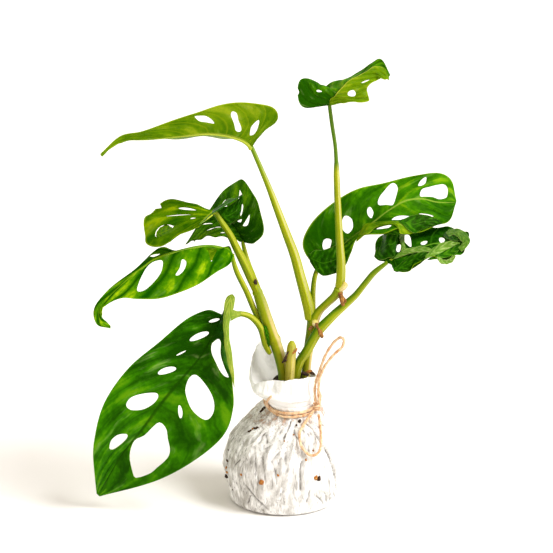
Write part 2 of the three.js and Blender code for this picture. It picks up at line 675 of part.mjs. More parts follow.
for (const stalk of STALKS) {
  const leaf = LEAVES.find((one) => one.name === stalk.leaf);
  let solid = stemSolid(stalk);
  solid = solid.subtract(bladeBlank(leaf, leafSurface(leaf), BLADE_THICKNESS + 2 * CLEARANCE));
  const stem = STEMS.find((one) => one.name === stalk.stem);
  if (stem) solid = solid.subtract(stemSolid(stem, CLEARANCE));
  addPiece(stalk.name, solid, STALK_FINISH);
}

const rightVine = STEMS.find((one) => one.name === 'vine_stem_right');
for (const root of AERIAL_ROOTS) {
  const solid = stemSolid({ ...root, steps: AERIAL_ROOT_STEPS }).subtract(stemSolid(rightVine, CLEARANCE));
  addPiece(root.name, solid, ROOT_FINISH);
}

const planted = [...STEMS, ...STALKS].filter((one) => one.rows[0][2] === SOIL_DEPTH_Z);
addPiece('root_ball', rootBall(planted), SOIL_FINISH);
addPiece('tissue_wrap', tissueWrap(), TISSUE_FINISH);
addPiece('twine_tie', twineTie(), TWINE_FINISH);
for (const loop of LOOPS) addPiece(loop.name, twineLoop(loop), TWINE_FINISH);

export default plant;
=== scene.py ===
"""Dresses a young swiss cheese vine whose root ball is wrapped in white tissue and tied with jute twine.

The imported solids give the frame. Each leaf, stalk, vine, root, the soil, the tissue and the twine is made
again here with the same curves and finer cells, and stands for its solid. Sizes are typed in millimetres
and become metres where a mesh is placed.
"""

import logging
import math
from collections.abc import Callable
from dataclasses import dataclass, field, replace
from enum import Enum
from functools import partial

import bpy
import numpy as np
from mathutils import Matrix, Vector, noise


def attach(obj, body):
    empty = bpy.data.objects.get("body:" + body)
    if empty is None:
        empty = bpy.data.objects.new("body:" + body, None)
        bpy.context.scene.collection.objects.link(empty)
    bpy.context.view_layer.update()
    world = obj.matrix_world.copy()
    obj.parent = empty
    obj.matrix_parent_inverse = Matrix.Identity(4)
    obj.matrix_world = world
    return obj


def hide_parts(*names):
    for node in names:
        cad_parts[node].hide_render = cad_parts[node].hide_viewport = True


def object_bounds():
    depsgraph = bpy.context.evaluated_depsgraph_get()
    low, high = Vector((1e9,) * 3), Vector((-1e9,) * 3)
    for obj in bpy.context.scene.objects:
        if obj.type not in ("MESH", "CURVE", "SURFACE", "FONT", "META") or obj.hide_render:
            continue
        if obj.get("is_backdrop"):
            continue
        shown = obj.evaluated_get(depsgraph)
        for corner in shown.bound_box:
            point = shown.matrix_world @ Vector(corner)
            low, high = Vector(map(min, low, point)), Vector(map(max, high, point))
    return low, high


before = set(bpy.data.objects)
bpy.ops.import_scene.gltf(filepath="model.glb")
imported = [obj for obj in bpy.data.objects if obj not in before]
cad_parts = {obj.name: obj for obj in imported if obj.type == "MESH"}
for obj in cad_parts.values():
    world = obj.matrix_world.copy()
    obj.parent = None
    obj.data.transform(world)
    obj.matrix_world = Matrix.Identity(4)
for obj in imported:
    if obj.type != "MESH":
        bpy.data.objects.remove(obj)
solid_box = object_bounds()

MM = 0.001
ROOT = "root"
# Vertices that lie closer than this, in metres, are one.
SEAM_GAP = 1e-6
# Edges sharper than these stay crisp, on leaves and stalks and on the tissue.
RIM_ANGLE = math.radians(50)
PLEAT_ANGLE = math.radians(70)
# A leaf is cut as a flat slab this high, with blocks of this many sides, before it is stretched into place.
SLAB_HEIGHT = 0.02
CUTTER_SIDES = 36
# A normal is read from steps of this share of the blade, and is shared across it this near to its ends.
NORMAL_STEP = 0.006
END_BLEND = 0.1
SHARED_SPOTS = (-0.8, -0.4, 0.0, 0.4, 0.8)
# Side veins rise towards the tip with this power of their way out.
VEIN_CURVE = 1.3
# Millimetres: the height of the tied neck, the root ball's radius, and where rays that seat the crumbs start.
NECK_HEIGHT = 71.5
BALL_RADIUS = 38
RAY_START = -90
# Settings that many shader nodes share.
TIMES = {"operation": "MULTIPLY"}
PLUS = {"operation": "ADD"}
MINUS = {"operation": "SUBTRACT"}
TIMES_PLUS = {"operation": "MULTIPLY_ADD"}
SIZE_ONLY = {"operation": "ABSOLUTE"}
SMOOTH = {"interpolation_type": "SMOOTHSTEP"}
COLOURS = {"data_type": "RGBA", "output": 2}

log = logging.getLogger("vine")

Numbers = np.ndarray
Section = Callable[[Numbers, Numbers], Numbers]
Piece = bpy.types.Object
Socket = bpy.types.NodeSocket
AddNode = Callable[..., Socket]
Inputs = dict[str | int, object]
Triple = tuple[float, float, float]
Rows = list[list[float]]


def linear(hex_colour: str) -> tuple[float, float, float, float]:
    """Turns an sRGB hex colour into the linear colour that shaders take.

    Args:
        hex_colour: Six hex digits after a hash sign.

    Returns:
        Red, green, blue and alpha.
    """
    parts = [int(hex_colour[i : i + 2], 16) / 255 for i in (1, 3, 5)]
    red, green, blue = (c / 12.92 if c <= 0.04045 else ((c + 0.055) / 1.055) ** 2.4 for c in parts)
    return red, green, blue, 1.0


def add_node(
    tree: bpy.types.NodeTree, kind: str, inputs: list | dict, output: str | int = 0, **settings: object
) -> Socket | None:
    """Adds one shader node with its settings, values and links.

    Args:
        tree: The material's or world's node tree.
        kind: Blender's name of the node type, without its first word, ShaderNode.
        inputs: Values, or the output sockets that feed them, in order or by the input's name or number.
        output: The name or number of the output to give back.
        settings: Properties of the node.

    Returns:
        That output's socket, or None where the node has no outputs.
    """
    made = tree.nodes.new("ShaderNode" + kind)
    for name, value in settings.items():
        setattr(made, name, value)
    for name, value in inputs.items() if isinstance(inputs, dict) else enumerate(inputs):
        if isinstance(value, Socket):
            tree.links.new(value, made.inputs[name])
        else:
            made.inputs[name].default_value = value
    return made.outputs[output] if made.outputs else None


def smooth_curve(points: Numbers, place: Numbers) -> Numbers:
    """Follows a smooth curve through points.

    Args:
        points: Rows of numbers that the curve passes through.
        place: Where along the curve, from 0 at the first row to 1 at the last.

    Returns:
        One row for each place.
    """
    rows = np.vstack([2 * points[0] - points[1], points, 2 * points[-1] - points[-2]])
    scaled = np.clip(place, 0, 1) * (len(points) - 1)
    start = np.minimum(scaled.astype(int), len(points) - 2)
    part = (scaled - start)[:, None]
    a, b, c, d = (rows[start + k] for k in range(4))
    return b + 0.5 * part * (c - a + part * (2 * a - 5 * b + 4 * c - d + part * (3 * (b - c) + d - a)))


def smooth_step(value: Numbers, low: float, high: float) -> Numbers:
    """Rises smoothly from 0 at low to 1 at high."""
    part = np.clip((value - low) / (high - low), 0, 1)
    return part * part * (3 - 2 * part)


def unit(rows: Numbers) -> Numbers:
    """Scales each row to length 1."""
    return rows / np.maximum(np.linalg.norm(rows, axis=1, keepdims=True), 1e-12)


def soft_noise(points: Numbers, size: float, seed: float = 0.0) -> Numbers:
    """Reads smooth noise, about -1 to 1, at each point, with swells of this size. The seed moves them."""
    shift = Vector((seed, -seed, 2 * seed))
    return np.array([noise.noise(Vector(p) / size + shift) for p in points])


def deselect_all() -> None:
    """Leaves object mode with nothing selected."""
    if bpy.context.object and bpy.context.object.mode != "OBJECT":
        bpy.ops.object.mode_set(mode="OBJECT")
    bpy.ops.object.select_all(action="DESELECT")


def pick(pieces: list[Piece]) -> None:
    """Selects these pieces alone, with the first one active.

    Args:
        pieces: Mesh objects.
    """
    deselect_all()
    for piece in pieces:
        piece.select_set(True)
    bpy.context.view_layer.objects.active = pieces[0]


def in_edit_mode(piece: Piece, *steps: Callable[[], object]) -> None:
    """Runs mesh operators on the whole of one piece.

    Args:
        piece: The mesh object.
        steps: Calls made in order, each with everything selected.
    """
    pick([piece])
    bpy.ops.object.mode_set(mode="EDIT")
    for step in steps:
        bpy.ops.mesh.select_all(action="SELECT")
        step()
    bpy.ops.object.mode_set(mode="OBJECT")


def turn_outwards() -> None:
    """Points the selected faces outwards, in edit mode."""
    bpy.ops.mesh.normals_make_consistent(inside=False)


def close_seams(piece: Piece) -> None:
    """Merges vertices that meet, so that a rolled grid is one closed skin, and points its faces outwards."""
    in_edit_mode(piece, lambda: bpy.ops.mesh.remove_doubles(threshold=SEAM_GAP), turn_outwards)


def vertex_spots(piece: Piece) -> Numbers:
    """Reads a piece's vertices.

    Args:
        piece: The mesh object.

    Returns:
        Rows of x, y and z.
    """
    spots = np.zeros(len(piece.data.vertices) * 3)
    piece.data.vertices.foreach_get("co", spots)
    return spots.reshape(-1, 3)


def place_vertices(piece: Piece, spots: Numbers) -> None:
    """Moves the piece's vertices to rows of x, y and z."""
    piece.data.vertices.foreach_set("co", spots.ravel())
    piece.data.update()


def add_grid(name: str, columns: int, rows: int) -> Piece:
    """Adds a flat grid of cells, from -1 to 1 across and 0 to 1 along, with a UV map over the same range.

    Args:
        name: The piece's name.
        columns: Cells across.
        rows: Cells along.

    Returns:
        The grid.
    """
    deselect_all()
    bpy.ops.mesh.primitive_grid_add(x_subdivisions=columns, y_subdivisions=rows, size=2)
    grid = bpy.context.object
    grid.name = name
    grid.data.name = name
    spots = vertex_spots(grid)
    spots[:, 1] = (spots[:, 1] + 1) / 2
    place_vertices(grid, spots)
    return grid


def join_pieces(name: str, pieces: list[Piece]) -> Piece:
    """Joins pieces into the first one.

    Args:
        name: The joined piece's name.
        pieces: Mesh objects.

    Returns:
        The joined piece.
    """
    pick(pieces)
    bpy.ops.object.join()
    pieces[0].name = name
    pieces[0].data.name = name
    return pieces[0]


def shade(piece: Piece, angle: float = RIM_ANGLE) -> None:
    """Shades smoothly, with edges sharper than the angle left crisp."""
    pick([piece])
    bpy.ops.object.shade_smooth_by_angle(angle=angle)


def hand_over(piece: Piece, slot: str, replaced: list[str]) -> None:
    """Gives a finished piece to the frame.

    Args:
        piece: The finished mesh object.
        slot: The material slot; not used.
        replaced: Names of the solids that it stands for.
    """
    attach(piece, ROOT)
    if replaced:
        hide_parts(*replaced)
    log.info("%s: %d faces", piece.name, len(piece.data.polygons))


def carried_frames(centres: Numbers, first_side: Triple) -> tuple[Numbers, Numbers]:
    """Carries a side direction along a line of points without twisting it.

    Args:
        centres: Rows of points along the line.
        first_side: Roughly where the side direction points at the start.

    Returns:
        The side direction, and the direction at right angles to it and to the line, for each point.
    """
    tangents = unit(np.gradient(centres, axis=0))
    side = np.array(first_side, float)
    sides = []
    for tangent in tangents:
        side = side - tangent * side.dot(tangent)
        side = side / np.linalg.norm(side)
        sides.append(side)
    return np.array(sides), np.cross(tangents, np.array(sides))


@dataclass(frozen=True)
class Finish:
    """How one surface looks. Each kind of finish adds its own patterns.

    Attributes:
        name: The material's name.
    """

    name: str

    def patterns(self, node: AddNode) -> Inputs:
        """Adds the nodes of the finish's patterns, and gives the inputs of its surface shader."""
        raise NotImplementedError

    def material(self) -> bpy.types.Material:
        """Makes the node material.

        Returns:
            The material.
        """
        material = bpy.data.materials.new(self.name)
        material.use_nodes = True
        material.node_tree.nodes.clear()
        node = partial(add_node, material.node_tree)
        node("OutputMaterial", {"Surface": node("BsdfPrincipled", self.patterns(node))})
        return material

    def dress(self, piece: Piece, slot: str, replaced: list[str], angle: float = RIM_ANGLE) -> None:
        """Covers a piece with the finish, shades it smoothly and hands it over.

        Args:
            piece: The mesh object.
            slot: The material slot.
            replaced: Names of the solids that it stands for.
            angle: Edges sharper than this stay crisp.
        """
        piece.data.materials.append(self.material())
        shade(piece, angle)
        hand_over(piece, slot, replaced)


@dataclass
class Tube:
    """A closed tube swept along a curve, with rounded ends.

    Attributes:
        name: The piece's name.
        path: Points in millimetres that the middle passes through.
        radii: The radius in millimetres at each point.
        sides: Cells round the tube.
        rows: Cells along it.
        section: The radius as a share of the round one, by angle and place along, or None where it is round.
        side: Where angle 0 faces.
        cap: The share of the length that each rounded end takes.
    """

    name: str
    path: Rows
    radii: list[float]
    sides: int = 16
    rows: int = 60
    section: Section | None = None
    side: Triple = (0.6, -0.8, 0.0)
    cap: float = 0.02

    def build(self) -> Piece:
        """Makes the mesh.

        Returns:
            The tube's object.
        """
        tube = add_grid(self.name, self.sides, self.rows)
        spots = vertex_spots(tube)
        angle = math.pi * spots[:, 0]
        row = np.rint(spots[:, 1] * self.rows).astype(int)
        place = np.linspace(0, 1, self.rows + 1)
        centres = smooth_curve(np.array(self.path, float), place) * MM
        over, up = carried_frames(centres, self.side)
        radius = smooth_curve(np.array(self.radii, float)[:, None], place)[:, 0] * MM
        from_end = np.minimum(place, 1 - place) / self.cap
        radius *= np.sqrt(np.clip(1 - (1 - np.minimum(from_end, 1)) ** 2, 0, 1))
        reach = radius[row] * (self.section(angle, place[row]) if self.section else 1)
        turned = over[row] * np.cos(angle)[:, None] + up[row] * np.sin(angle)[:, None]
        place_vertices(tube, centres[row] + turned * reach[:, None])
        close_seams(tube)
        return tube


@dataclass(frozen=True)
class LeafFinish(Finish):
    """Living leaf skin: a thin wax over green tissue, so a soft yellowish gloss, streaks, panels and veins.

    Attributes:
        deep: The darkest green, along the veins and near the stalk, as sRGB hex.
        fresh: The green of the panels between the veins.
        blotch: The yellow-green of the lighter patches.
        vein: The colour of the side veins, dark on most upper faces as painted shade, paler on undersides.
        midrib: The colour of the midrib.
        margin: The colour of the thin edge.
        roughness: Satin for the waxy upper face, higher for the matt underside.
        gloss: The specular level: low, because the wax is thin.
        patches: How much the lighter patches show, from 0 to 1.
        vein_strength: How much the side veins show, from 0 to 1.
        dark_foot: How much darker the blade is near the stalk, from 0 to 1.
        side_veins: Side veins along each half, as in the blade's relief.
        vein_rise: How far a side vein runs towards the tip before it meets the margin.
        vein_width: Half the width of a vein's line, as a share of the way between two veins.
        painted_sheen: How much painted sheen shows, pale streaks for sky light on the wax, from 0 to 1.
        painted_sheen_hex: The colour of that painted sheen.
        wax_tint: The colour that the wax gives its gloss.
    """

    deep: str
    fresh: str
    blotch: str
    vein: str
    midrib: str
    margin: str
    roughness: float
    gloss: float = 0.14
    patches: float = 0.7
    vein_strength: float = 0.5
    dark_foot: float = 0.4
    side_veins: float = 9.0
    vein_rise: float = 0.2
    vein_width: float = 0.07
    painted_sheen: float = 0.3
    painted_sheen_hex: str = "#9db56a"
    wax_tint: str = "#d8ee50"

    def patterns(self, node: AddNode) -> Inputs:
        """Adds the veins, panels, patches, painted sheen and grain.

        Args:
            node: Adds one node to the material.

        Returns:
            The inputs of its surface shader.
        """
        layout = node("UVMap", [], uv_map="UVMap")
        spot = node("TexCoord", [], "Object")
        along = node("SeparateXYZ", [layout], "Y")
        over = node("Math", [node("SeparateXYZ", [layout], "X"), 2.0, -1.0], **TIMES_PLUS)
        across = node("Math", [over], **SIZE_ONLY)
        rise = node("Math", [node("Math", [across, VEIN_CURVE], operation="POWER"), -self.vein_rise], **TIMES)
        # Veins wander by about a millimetre over 15 mm of leaf.
        wander = node("TexNoise", {"Vector": spot, "Scale": 1 / (15 * MM), "Detail": 2.0})
        bend = node("Math", [along, node("Math", [wander, 0.04, rise], **TIMES_PLUS)], **PLUS)
        phase = node("Math", [bend, self.side_veins], **TIMES)
        from_vein = node("Math", [phase, 0.5], operation="PINGPONG")
        # Painted light and shade: panels paler where the quilting rises, darker by the sunken veins.
        panel = node("MapRange", [from_vein, 0.06, 0.42], **SMOOTH)
        # Streaks of paler tissue run along the side veins, six or so in each panel and 10 mm long.
        laid = node("CombineXYZ", [node("Math", [phase, 3.2], **TIMES), across])
        drawn = node("Mapping", {"Vector": laid, "Scale": (1.0, 3.4, 1.0)})
        streaks = node("TexNoise", {"Vector": drawn, "Scale": 1.3, "Detail": 5.0})
        # Patches about 20 mm wide, with edges broken by grain about 3 mm wide.
        broad = node("TexNoise", {"Vector": spot, "Scale": 1 / (20 * MM), "Detail": 3.0})
        fine = node("TexNoise", {"Vector": spot, "Scale": 1 / (3 * MM), "Detail": 4.0})
        mottle = node("Math", [fine, 0.3, node("Math", [streaks, 0.5, broad], **TIMES_PLUS)], **TIMES_PLUS)
        near_stalk = node("MapRange", [along, 0.05, 0.6, 1.0, 0.0], **SMOOTH)
        foot = node("Math", [near_stalk, self.dark_foot * 0.35], **TIMES)
        light = node("Math", [node("Math", [panel, 0.14, mottle], **TIMES_PLUS), foot], **MINUS)
        lit = node("MapRange", [light, 0.98, 1.26, 0.0, self.patches], **SMOOTH)
        # Painted sheen: pale streaks about 6 mm wide that stand for sky light on the wax.
        wax = node("TexNoise", {"Vector": drawn, "Scale": 0.8, "Detail": 3.0})
        pale = node("MapRange", [wax, 0.55, 0.72, 0.0, self.painted_sheen], **SMOOTH)
        # The dark vein colour of most upper faces paints shade in sunken veins; undersides have paler veins.
        on_vein = node("MapRange", [from_vein, 0.0, self.vein_width, self.vein_strength, 0.0], **SMOOTH)
        colour = linear(self.deep)
        for share, coat in (
            (node("MapRange", [light, 0.7, 1.16], **SMOOTH), self.fresh),
            (node("Math", [lit, panel], **TIMES), self.blotch),
            (node("Math", [pale, panel], **TIMES), self.painted_sheen_hex),
            (on_vein, self.vein),
            (node("MapRange", [across, 0.96, 1.0, 0.0, 0.7], **SMOOTH), self.margin),
            (node("MapRange", [across, 0.01, 0.045, 0.8, 0.0], **SMOOTH), self.midrib),
        ):
            colour = node("Mix", {0: share, 6: colour, 7: linear(coat)}, **COLOURS)
        # The skin's grain is about 0.8 mm wide, coarser than the real cells so that it shows.
        grain = node("TexNoise", {"Vector": spot, "Scale": 1 / (0.8 * MM), "Detail": 2.0})
        relief = node("Math", [from_vein, streaks], **PLUS)
        height = node("Math", [grain, 0.3, relief], **TIMES_PLUS)
        return {
            "Base Color": colour,
            "Roughness": node("Math", [fine, 0.2, self.roughness - 0.1], **TIMES_PLUS),
            "IOR": 1.3,
            "Specular IOR Level": self.gloss,
            "Specular Tint": linear(self.wax_tint),
            "Normal": node("Bump", {"Height": height, "Strength": 0.5, "Distance": 0.7 * MM}),
            "Subsurface Weight": 0.12,
            "Subsurface Radius": (0.6, 1.0, 0.1),
            "Subsurface Scale": 0.5 * MM,
        }


@dataclass(frozen=True)
class StalkFinish(Finish):
    """Living stalk: smooth, fibrous and satin, greener on its painted shaded side and cream along its
    channel.

    Attributes:
        shaded: The greener side, painted as shade, as sRGB hex.
        sunny: The yellow-green side by the channel, painted as sunlit.
        channel: The pale line along the channel and its ridges.
        foot: The colour at the foot, which the soil and tissue have kept pale.
        head: The colour at the leaf.
        roughness: Satin.
        head_span: Where along the stalk the head's colour starts and where it is full.
        blemish: How many brown flecks it has, from 0 to 1.
        fleck: The colour of those flecks.
    """

    shaded: str
    sunny: str
    channel: str
    foot: str
    head: str
    roughness: float = 0.42
    head_span: tuple[float, float] = (0.55, 1.0)
    blemish: float = 0.0
    fleck: str = "#7a4a22"

    def patterns(self, node: AddNode) -> Inputs:
        """Adds the painted sunny and shaded sides, the channel, the foot, the head, the flecks and the
        fibres.

        Args:
            node: Adds one node to the material.

        Returns:
            The inputs of its surface shader.
        """
        layout = node("UVMap", [], uv_map="UVMap")
        round_it = node("SeparateXYZ", [layout], "X")
        along = node("SeparateXYZ", [layout], "Y")
        spot = node("TexCoord", [], "Object")
        # Fibres run along the stalk, about 0.7 mm apart, drawn out to 20 mm long.
        thread = 1 / (0.7 * MM)
        stretch = node("Mapping", {"Vector": spot, "Scale": (thread, thread, 1 / (20 * MM))})
        fibres = node("TexNoise", {"Vector": stretch, "Scale": 1.0, "Detail": 3.0})
        broad = node("TexNoise", {"Vector": spot, "Scale": 1 / (9 * MM), "Detail": 3.0})
        away = node("Math", [node("Math", [round_it, 0.5], **MINUS)], **SIZE_ONLY)
        mottled = node("Math", [broad, 0.9, -0.42], **TIMES_PLUS)
        # Painted shade: the side away from the channel, which faces the sun, is greener.
        side = node("Math", [node("MapRange", [away, 0.1, 0.34], **SMOOTH), mottled], **PLUS)
        flecks = node("TexNoise", {"Vector": spot, "Scale": 1 / (1.6 * MM), "Detail": 2.0})
        colour = linear(self.sunny)
        for span, coat in (
            ([side, 0.0, 1.0], self.shaded),
            ([away, 0.03, 0.09, 0.75, 0.0], self.channel),
            ([along, 0.0, 0.3, 0.8, 0.0], self.foot),
            ([along, *self.head_span, 0.0, 0.85], self.head),
            ([flecks, 0.68, 0.74, 0.0, self.blemish], self.fleck),
        ):
            share = node("MapRange", span, **SMOOTH)
            colour = node("Mix", {0: share, 6: colour, 7: linear(coat)}, **COLOURS)
        return {
            "Base Color": colour,
            "Roughness": self.roughness,
            "IOR": 1.35,
            "Specular IOR Level": 0.2,
            "Normal": node("Bump", {"Height": fibres, "Strength": 0.3, "Distance": 0.25 * MM}),
            "Subsurface Weight": 0.2,
            "Subsurface Radius": (1.0, 1.0, 0.2),
            "Subsurface Scale": 0.8 * MM,
        }


class UpperFace(Enum):
    """Which way the leaf's glossy upper face looks, against the normal of its net."""

    ALONG = 1
    AGAINST = -1


def add_block() -> Piece:
    """Adds a round upright block, one across each way from its middle, that reaches through the slab.

    Returns:
        The block.
    """
    deselect_all()
    bpy.ops.mesh.primitive_cylinder_add(vertices=CUTTER_SIDES, radius=1, depth=4 * SLAB_HEIGHT)
    block = bpy.context.object
    spots = vertex_spots(block)
    spots[:, 2] += SLAB_HEIGHT / 2
    place_vertices(block, spots)
    return block


@dataclass(frozen=True)
class Hole:
    """One hole of a blade, an egg-shaped oval, with its place and size in thousandths of the blade.

    Attributes:
        across: Its middle, from -1000 at the left margin to 1000 at the right.
        along: Its middle, from 0 at the stalk to 1000 at the tip.
        half_across: Half its width across.
        half_along: Half its width along.
        turn: Its turn in degrees.
        egg: How much fatter its end towards the margin is.
        bluntness: 2 for an oval, less for a diamond with soft corners, more for a box.
    """

    across: float
    along: float
    half_across: float
    half_along: float
    turn: float
    egg: float = 0.12
    bluntness: float = 2.0

    def cutter(self) -> Piece:
        """Makes the upright block that cuts the hole.

        Returns:
            The block.
        """
        block = add_block()
        spots = vertex_spots(block)
        outward = math.copysign(1, self.across)
        shape = np.sum(np.abs(spots[:, :2]) ** self.bluntness, axis=1) ** (-1 / self.bluntness)
        wide = spots[:, 0] * shape * (self.half_across / 1000)
        high = spots[:, 1] * shape * (self.half_along / 1000) * (1 + self.egg * outward * spots[:, 0])
        turn = math.radians(self.turn)
        spots[:, 0] = self.across / 1000 + wide * math.cos(turn) - high * math.sin(turn)
        spots[:, 1] = self.along / 1000 + wide * math.sin(turn) + high * math.cos(turn)
        place_vertices(block, spots)
        return block


@dataclass(frozen=True)
class CutOut:
    """One hole of a blade with an outline of its own, a smooth loop through its corners.

    Attributes:
        corners: Rows of across and along, once round, in thousandths of the blade.
    """

    corners: Rows

    def cutter(self) -> Piece:
        """Makes the upright block that cuts the hole.

        Returns:
            The block.
        """
        block = add_block()
        spots = vertex_spots(block)
        count = len(self.corners)
        # Two corners more at each end, so that the loop is as smooth where it closes as elsewhere.
        loop = np.array([self.corners[i % count] for i in range(-2, count + 3)]) / 1000
        place = np.arctan2(spots[:, 1], spots[:, 0]) / (2 * math.pi) % 1
        spots[:, :2] = smooth_curve(loop, (2 + place * count) / (count + 4))
        place_vertices(block, spots)
        return block


@dataclass
class LeafBlade:
    """A thin blade with holes, a sunken midrib and side veins, and the raised midrib under it.

    Attributes:
        name: The solid's name.
        upper: Which way the upper face looks.
        top: The upper face's finish.
        under: The underside's finish.
        rib: The finish of the midrib, or None where it has none.
        stations: Rows from the stalk to the tip: x, y and z of the midrib, of the left margin and of the
            right one and, where the blade arches, how far the points halfway out to left and right move.
        holes: Its holes.
        right: The top and underside finishes right of the midrib, where that half is turned over.
        rib_radius: The midrib's radius in millimetres at the stalk.
        rib_end: How far along the blade the midrib reaches.
        rib_taper: How much thinner it would be at the tip, as a share.
        cells: Cells along and across.
        thickness: Millimetres.
        quilting: How far the panels stand up between the side veins, in millimetres.
        ripple: How far the margins wave, in millimetres.
        ripples: Waves along each margin.
        nets: The lines that the surface is stretched over, read from the stations.
    """

    name: str
    upper: UpperFace
    top: LeafFinish
    under: LeafFinish
    rib: StalkFinish | None
    stations: Rows
    holes: list[Hole | CutOut]
    right: tuple[LeafFinish, LeafFinish] | None = None
    rib_radius: float = 1.3
    rib_end: float = 0.93
    rib_taper: float = 0.85
    cells: tuple[int, int] = (110, 70)
    thickness: float = 0.5
    quilting: float = 0.5
    ripple: float = 0.7
    ripples: float = 5.0
    nets: list[Numbers] = field(init=False)

    def __post_init__(self) -> None:
        """Reads the stations into the lines that the blade is stretched over."""
        rows = np.array([(row + [0] * 6)[:15] for row in self.stations], float).reshape(-1, 5, 3)
        middle, left, right, left_arch, right_arch = (rows[:, i] for i in range(5))
        self.nets = [middle, left, (middle + left) / 2 + left_arch, right, (middle + right) / 2 + right_arch]

    def surface(self, across: Numbers, along: Numbers) -> Numbers:
        """Gives the blade's middle surface.

        Args:
            across: From -1 to 1.
            along: From 0 to 1.

        Returns:
            Points in millimetres.
        """
        middle, left, left_half, right, right_half = (smooth_curve(net, along) for net in self.nets)
        on_left = (across < 0)[:, None]
        end = np.where(on_left, left, right)
        control = 2 * np.where(on_left, left_half, right_half) - (middle + end) / 2
        part = np.abs(across)[:, None]
        return middle * (1 - part) ** 2 + control * 2 * part * (1 - part) + end * part**2

    def local_normals(self, across: Numbers, along: Numbers) -> Numbers:
        """Gives the normals of the middle surface, from small steps each way.

        Args:
            across: From -1 to 1.
            along: From 0 to 1.

        Returns:
            Rows of length 1.
        """
        left, right = np.maximum(across - NORMAL_STEP, -1), np.minimum(across + NORMAL_STEP, 1)
        low, high = np.maximum(along - NORMAL_STEP, 0), np.minimum(along + NORMAL_STEP, 1)
        over = self.surface(right, along) - self.surface(left, along)
        up = self.surface(across, high) - self.surface(across, low)
        return unit(np.cross(over, up))

    def normals(self, across: Numbers, along: Numbers) -> Numbers:
        """Gives normals that a whole station shares near the narrow ends, so that the faces stay apart.

        Args:
            across: From -1 to 1.
            along: From 0 to 1.

        Returns:
            Rows of length 1.
        """
        station = np.clip(along, NORMAL_STEP, 1 - NORMAL_STEP)
        shared = sum(self.local_normals(np.full_like(along, spot), station) for spot in SHARED_SPOTS)
        own = smooth_step(np.minimum(along, 1 - along), 0, END_BLEND)[:, None]
        return unit(self.local_normals(across, along) * own + unit(shared) * (1 - own))

    def relief(self, across: Numbers, along: Numbers) -> Numbers:
        """Gives how far the blade stands off its middle surface, towards the upper face.

        Args:
            across: From -1 to 1.
            along: From 0 to 1.

        Returns:
            Millimetres.
        """
        out = np.abs(across)
        phase = (along - self.top.vein_rise * out**VEIN_CURVE) * self.top.side_veins
        panel = np.abs(np.sin(math.pi * phase)) ** 0.6
        inside = np.clip(np.sin(math.pi * np.clip(out, 0, 1)), 0, 1) ** 0.5
        ends = smooth_step(np.minimum(along, 1 - along), 0, 0.12)
        waves = np.sin(2 * math.pi * (self.ripples * along + 0.35 * np.sign(across))) * out**3
        return (self.quilting * (panel - 0.6) * inside + self.ripple * waves) * ends

    def slab(self) -> Piece:
        """Makes the flat blade with its holes cut through.

        Returns:
            The slab, still in the (across, along) range.
        """
        rows, columns = self.cells
        blade = add_grid(self.name + "_blade", columns, rows)
        lift = {"value": (0, 0, SLAB_HEIGHT)}
        in_edit_mode(
            blade, lambda: bpy.ops.mesh.extrude_region_move(TRANSFORM_OT_translate=lift), turn_outwards
        )
        if self.holes:
            cutter = join_pieces("cutter", [hole.cutter() for hole in self.holes])
            pick([blade])
            cut = blade.modifiers.new("holes", "BOOLEAN")
            cut.operation = "DIFFERENCE"
            cut.solver = "MANIFOLD"
            cut.object = cutter
            bpy.ops.object.modifier_apply(modifier=cut.name)
            bpy.data.objects.remove(cutter)
        cuts = {"quad_method": "BEAUTY", "ngon_method": "BEAUTY"}
        in_edit_mode(blade, lambda: bpy.ops.mesh.quads_convert_to_tris(**cuts))
        return blade

    def build(self) -> Piece:
        """Makes the blade and its midrib.

        Returns:
            The finished piece.
        """
        blade = self.slab()
        spots = vertex_spots(blade)
        across, along = np.clip(spots[:, 0], -1, 1), np.clip(spots[:, 1], 0, 1)
        facing = self.upper.value
        top = spots[:, 2] > SLAB_HEIGHT / 2 if facing > 0 else spots[:, 2] < SLAB_HEIGHT / 2
        self.paint(blade, spots, top)
        out = self.normals(across, along) * facing
        height = self.relief(across, along) + np.where(top, 0.5, -0.5) * self.thickness
        place_vertices(blade, (self.surface(across, along) + out * height[:, None]) * MM)
        if facing < 0:
            in_edit_mode(blade, turn_outwards)
        piece = join_pieces(self.name + "_live", [blade, self.midrib()] if self.rib else [blade])
        shade(piece)
        return piece

    def paint(self, blade: Piece, spots: Numbers, top: Numbers) -> None:
        """Lays the UV map over the blade and gives each face its material.

        Args:
            blade: The flat slab.
            spots: Its vertices.
            top: Whether each vertex is on the upper face.
        """
        mesh = blade.data
        corner = np.zeros(len(mesh.loops), int)
        mesh.loops.foreach_get("vertex_index", corner)
        layout = np.column_stack([(spots[corner, 0] + 1) / 2, spots[corner, 1]])
        while mesh.uv_layers:
            mesh.uv_layers.remove(mesh.uv_layers[0])
        mesh.uv_layers.new(name="UVMap").data.foreach_set("uv", layout.ravel())
        mesh.materials.clear()
        for finish in (self.top, self.under, *(self.right or (self.top, self.under))):
            mesh.materials.append(finish.material())
        corners = corner.reshape(-1, 3)
        is_top = top[corners].all(axis=1)
        on_right = spots[corners, 0].mean(axis=1) > 0
        mesh.polygons.foreach_set("material_index", (2 * on_right + ~is_top).astype(np.int32))

    def midrib(self) -> Piece:
        """Makes the raised midrib along the underside.

        Returns:
            The midrib, with its material.
        """
        places = np.linspace(0, self.rib_end, 24)
        centre = np.zeros_like(places)
        radii = self.rib_radius * (1 - self.rib_taper * places)
        down = self.normals(centre, places) * self.upper.value * (0.85 * radii)[:, None]
        line = self.surface(centre, places) - down
        rib = Tube(self.name + "_rib", line.tolist(), radii.tolist(), sides=10, rows=90, cap=0.01).build()
        rib.data.materials.append(self.rib.material())
        return rib


